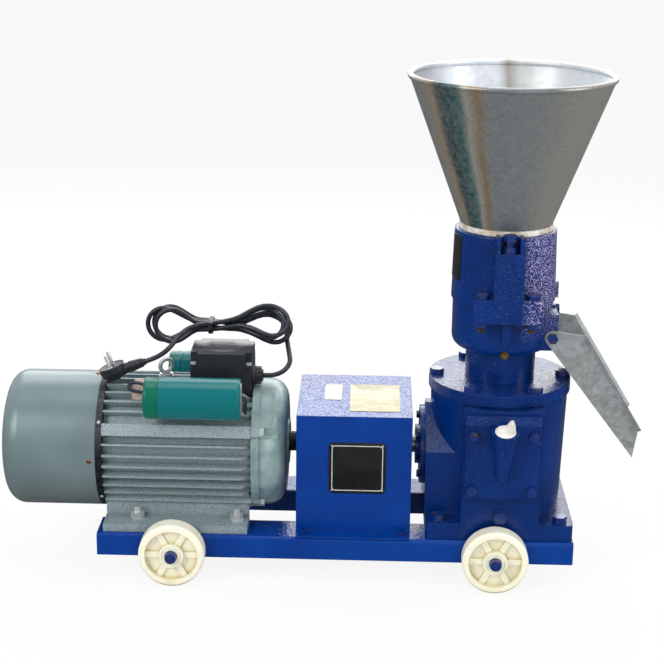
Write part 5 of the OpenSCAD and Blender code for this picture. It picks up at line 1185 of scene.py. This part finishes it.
front_centre = Vector((guard_low.x + FRONT_RIGHT * MM, mid_y - GUARD_HALF * MM, FRONT_Z * MM))
plate_face = front_centre + Vector((0, -PLATE_T * MM, 0))
flat_plate("guard_front_plate", front_centre, FRONT_PLATE, FRONT_CORNER, UPRIGHT, foil_black)
outline = rounded_rectangle(OUTLINE, OUTLINE_CORNER)
edit_all()
bpy.ops.mesh.inset(thickness=OUTLINE_W * MM, depth=0)
bpy.ops.mesh.delete(type="FACE")
close_mesh()
modify(outline, "SOLIDIFY", thickness=OUTLINE_T * MM, offset=1)
place_plate(outline, "guard_front_plate_outline", plate_face, UPRIGHT, foil_edge)
for name, size, to_right, to_back, finish in (
        ("guard_top_plate", TOP_PLATE, TOP_RIGHT, TOP_BACK, foil_beige),
        ("guard_top_small_plate", SMALL_PLATE, SMALL_RIGHT, SMALL_BACK, foil_edge)):
    centre = Vector((guard_low.x + to_right * MM, mid_y + to_back * MM, guard_high.z))
    flat_plate(name, centre, size, TOP_CORNER, LYING, finish)
print("plates on the guard")

# %% [markdown]
# Two plates follow a round casting: one on the motor's top and one on the left of the
# pelleting chamber. Each is an edge spun about the casting's axis, then given a wall. Spin
# can leave the strip inside out, so its normals are checked against the axis first.

# %% Curved plates
SPIN_STEPS = 16
CHAMBER_PLATE_LOW, CHAMBER_PLATE_HIGH = 416, 478
CHAMBER_PLATE_FROM, CHAMBER_PLATE_SPAN = math.radians(-151), math.radians(38)
CHAMBER_DRAFT, PLATE_GAP = 2.5 / 97, 0.05
CHAMBER_R = (mill_x - chamber_low.x) / MM
MOTOR_PLATE_LEFT, MOTOR_PLATE_RIGHT, MOTOR_PLATE_GAP = -148, -108, 0.1
MOTOR_PLATE_FROM, MOTOR_PLATE_SPAN = 80, math.radians(26)


def curved_plate(name, first, last, centre, axis, angle, finish):
    """Spins the edge from first to last about an axis and gives the strip a wall."""
    plate = drawn(name, [first, last], [(0, 1)], [])
    edit_all()
    bpy.ops.mesh.spin(steps=SPIN_STEPS, angle=angle, center=centre, axis=axis)
    bpy.ops.mesh.select_all(action="SELECT")
    bpy.ops.mesh.normals_make_consistent(inside=False)
    close_mesh()
    sample = plate.data.polygons[SPIN_STEPS // 2]
    out = sample.center - Vector(centre)
    out -= Vector(axis) * out.dot(Vector(axis))
    if sample.normal.dot(out) < 0:
        edit_all()
        bpy.ops.mesh.flip_normals()
        close_mesh()
    modify(plate, "SOLIDIFY", thickness=PLATE_T * MM, offset=1)
    round_edges(plate, PLATE_EDGE, 1, angle=60)
    settle(plate, name)
    dress(plate, finish)


def on_chamber(z):
    radius = (CHAMBER_R - (z - joint_z / MM) * CHAMBER_DRAFT + PLATE_GAP) * MM
    return Vector((mill_x + radius * math.cos(CHAMBER_PLATE_FROM),
                   mid_y + radius * math.sin(CHAMBER_PLATE_FROM), z * MM))


def around_motor(x, degrees, radius):
    """A point on a circle round the motor's axis, from the front over the top, and the way out."""
    angle = math.radians(degrees)
    return (at_motor(x, -radius * math.cos(angle), radius * math.sin(angle)),
            Vector((0, -math.cos(angle), math.sin(angle))))


curved_plate("chamber_side_plate", on_chamber(CHAMBER_PLATE_LOW), on_chamber(CHAMBER_PLATE_HIGH),
             (mill_x, mid_y, 0), (0, 0, 1), CHAMBER_PLATE_SPAN, foil_black)
motor_plate_r = FIN_R + MOTOR_PLATE_GAP
curved_plate("motor_top_plate", around_motor(MOTOR_PLATE_LEFT, MOTOR_PLATE_FROM, motor_plate_r)[0],
             around_motor(MOTOR_PLATE_RIGHT, MOTOR_PLATE_FROM, motor_plate_r)[0],
             tuple(at_motor(0, 0, 0)), (-1, 0, 0), MOTOR_PLATE_SPAN, foil_pink)
print("two curved plates are on")

# %% [markdown]
# Small screws and rivets are domes: a sphere is cut in half by bisect and closed, and a
# screw's slot is too small to see. Each copy gets its own mesh.

# %% Rivets and cover screws
DOME_SHARE, FLAT_DOME_SHARE = 0.6, 0.5
SCREW_CIRCLE_R = 95.9
COVER_SCREW_X, COVER_SCREW_R, COVER_SCREW_ANGLES = -203, 3.2, (0, 90, 180, 270)
RIM_SCREW_X, RIM_SCREW_R, RIM_SCREW_ANGLES = -190.5, 2.6, (33, 141, 219, 321)
RIVET_R, RIVET_X, RIVET_Z = 1.4, 35, 33


def dome(name, centre, outward, radius, finish, height_share=DOME_SHARE):
    """Half a ball that stands on a surface and points outward."""
    deselect()
    bpy.ops.mesh.primitive_uv_sphere_add(segments=16, ring_count=8, radius=radius * MM)
    ball = bpy.context.active_object
    edit_all()
    bpy.ops.mesh.bisect(plane_co=(0, 0, 0), plane_no=(0, 0, 1), clear_inner=True, use_fill=True)
    close_mesh()
    ball.scale = (1, 1, height_share)
    point_along(ball, outward)
    ball.location = centre
    settle(ball, name)
    dress(ball, finish)


for i, angle in enumerate(COVER_SCREW_ANGLES, 1):
    spot, out = around_motor(COVER_SCREW_X, angle, SCREW_CIRCLE_R)
    dome(f"cover_screw_{i}", spot, out, COVER_SCREW_R, finishes["copper"])
for i, angle in enumerate(RIM_SCREW_ANGLES, 1):
    spot, out = around_motor(RIM_SCREW_X, angle, SCREW_CIRCLE_R)
    dome(f"shield_rim_screw_{i}", spot, out, RIM_SCREW_R, finishes["zinc"])
rivet_spots = [(x, z) for x in (-RIVET_X, RIVET_X) for z in (-RIVET_Z, RIVET_Z)]
for i, (x, z) in enumerate(rivet_spots, 1):
    spot = plate_face + Vector((x * MM, 0, z * MM))
    dome(f"front_plate_rivet_{i}", spot, (0, -1, 0), RIVET_R, finishes["zinc"], FLAT_DOME_SHARE)
print("screws and rivets are on")

# %% [markdown]
# ## Motor wiring
# The start capacitor's right end carries a terminal tab and a wire that runs down to the
# frame, and a spare loop of wire lies at its left. Wires are smooth curves through a few
# given points, with a round section.

# %% Wires and the capacitor's tab
TAB, TAB_OUT, TAB_FRONT, TAB_UP, TAB_EDGE = (1.1, 9, 46), 0.6, -6, 2, 0.3
CAPACITOR_END = Vector((7.0, -85.5, 91.6))
WIRE_D, LOOP_D = 2.6, 5.2
WIRE_POINTS = ((1.5, -4, 6), (6, -5, 2), (7, -4, -12), (5, 8, -24), (2, 26, -12))
LOOP_POINTS = ((-126, -72, 95), (-134, -66, 93), (-145, -56, 91), (-152, -50, 93), (-150, -44, 97),
               (-140, -44, 98.5), (-128, -50, 97), (-118, -52, 96))


def wire(name, points, thickness, finish):
    curve = round_curve(name, thickness, 3)
    curve.resolution_u = 8
    spline = curve.splines.new("BEZIER")
    spline.bezier_points.add(len(points) - 1)
    for knot, point in zip(spline.bezier_points, points):
        knot.co = at_motor(*point)
        knot.handle_left_type = knot.handle_right_type = "AUTO"
    obj = settle(curve_to_mesh(name, curve), name)
    dress(obj, finish)


wire("capacitor_wire", [CAPACITOR_END + Vector(point) for point in WIRE_POINTS], WIRE_D,
     finishes["black_plastic"])
wire("wire_loop", LOOP_POINTS, LOOP_D, finishes["cord_black"])
tab = block(TAB, at_motor(*(CAPACITOR_END + Vector((TAB_OUT, TAB_FRONT, TAB_UP)))))
round_edges(tab, TAB_EDGE, 2)
settle(tab, "capacitor_tab")
dress(tab, finishes["zinc"])
print("wires and tab are on")

# %% [markdown]
# ## Welds and rust
# The rails and cross members are joined by short fillet welds under the same blue paint. A
# weld is a row of overlapping drops, so it is modelled as a stretched bead with rings, and
# made again at each joint.

# %% Weld beads on the chassis
RAIL_INNER, MEMBER_W = 52, 50
WELD_R, WELD_HALF_LEN, WELD_SUNK, WELD_DOWN = 2.4, 13, 0.8, 16
RIPPLE_SHARE, RIPPLES = 0.12, 34
member_low, member_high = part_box("cross_members")
member_sides = (member_low.x, member_low.x + MEMBER_W * MM, member_high.x - MEMBER_W * MM, member_high.x)
weld_spots = [(x, side) for x in member_sides for side in (-1, 1)]
for i, (x, side) in enumerate(weld_spots, 1):
    deselect()
    bpy.ops.mesh.primitive_uv_sphere_add(segments=12, ring_count=24, radius=1)
    bead = bpy.context.active_object
    for vertex in bead.data.vertices:
        ripple = 1 + RIPPLE_SHARE * math.cos(vertex.co.z * RIPPLES)
        vertex.co.x *= ripple
        vertex.co.y *= ripple
    bead.scale = (WELD_R * MM, WELD_R * MM, WELD_HALF_LEN * MM)
    bead.location = (x, mid_y + side * (RAIL_INNER - WELD_SUNK) * MM, rail_top - WELD_DOWN * MM)
    settle(bead, f"weld_{i}", 60)
    dress(bead, enamel_sheet)
print(len(weld_spots), "welds")

# %% [markdown]
# The bolts that hold the chamber's two halves end below its lugs in bare threads, which
# rust first. Each end is a short cylinder with a bevelled rim.

# %% Rusty threads below the chamber's lugs
THREAD_R, THREAD_LEN, THREAD_DOWN, THREAD_EDGE = 5.15, 7.2, 25.4, 0.5
LUG_BOLT_X, LUG_BOLT_Y = 34, 77.5
thread_spots = [(x, y) for x in (-LUG_BOLT_X, LUG_BOLT_X) for y in (-LUG_BOLT_Y, LUG_BOLT_Y)]
for i, (x, y) in enumerate(thread_spots, 1):
    spot = (mill_x + x * MM, mid_y + y * MM, joint_z - THREAD_DOWN * MM)
    thread = cylinder(THREAD_R, THREAD_LEN, spot, sides=24)
    round_edges(thread, THREAD_EDGE, 2)
    settle(thread, f"rusty_thread_{i}")
    dress(thread, rusty)
print(len(thread_spots), "thread ends")

# %% [markdown]
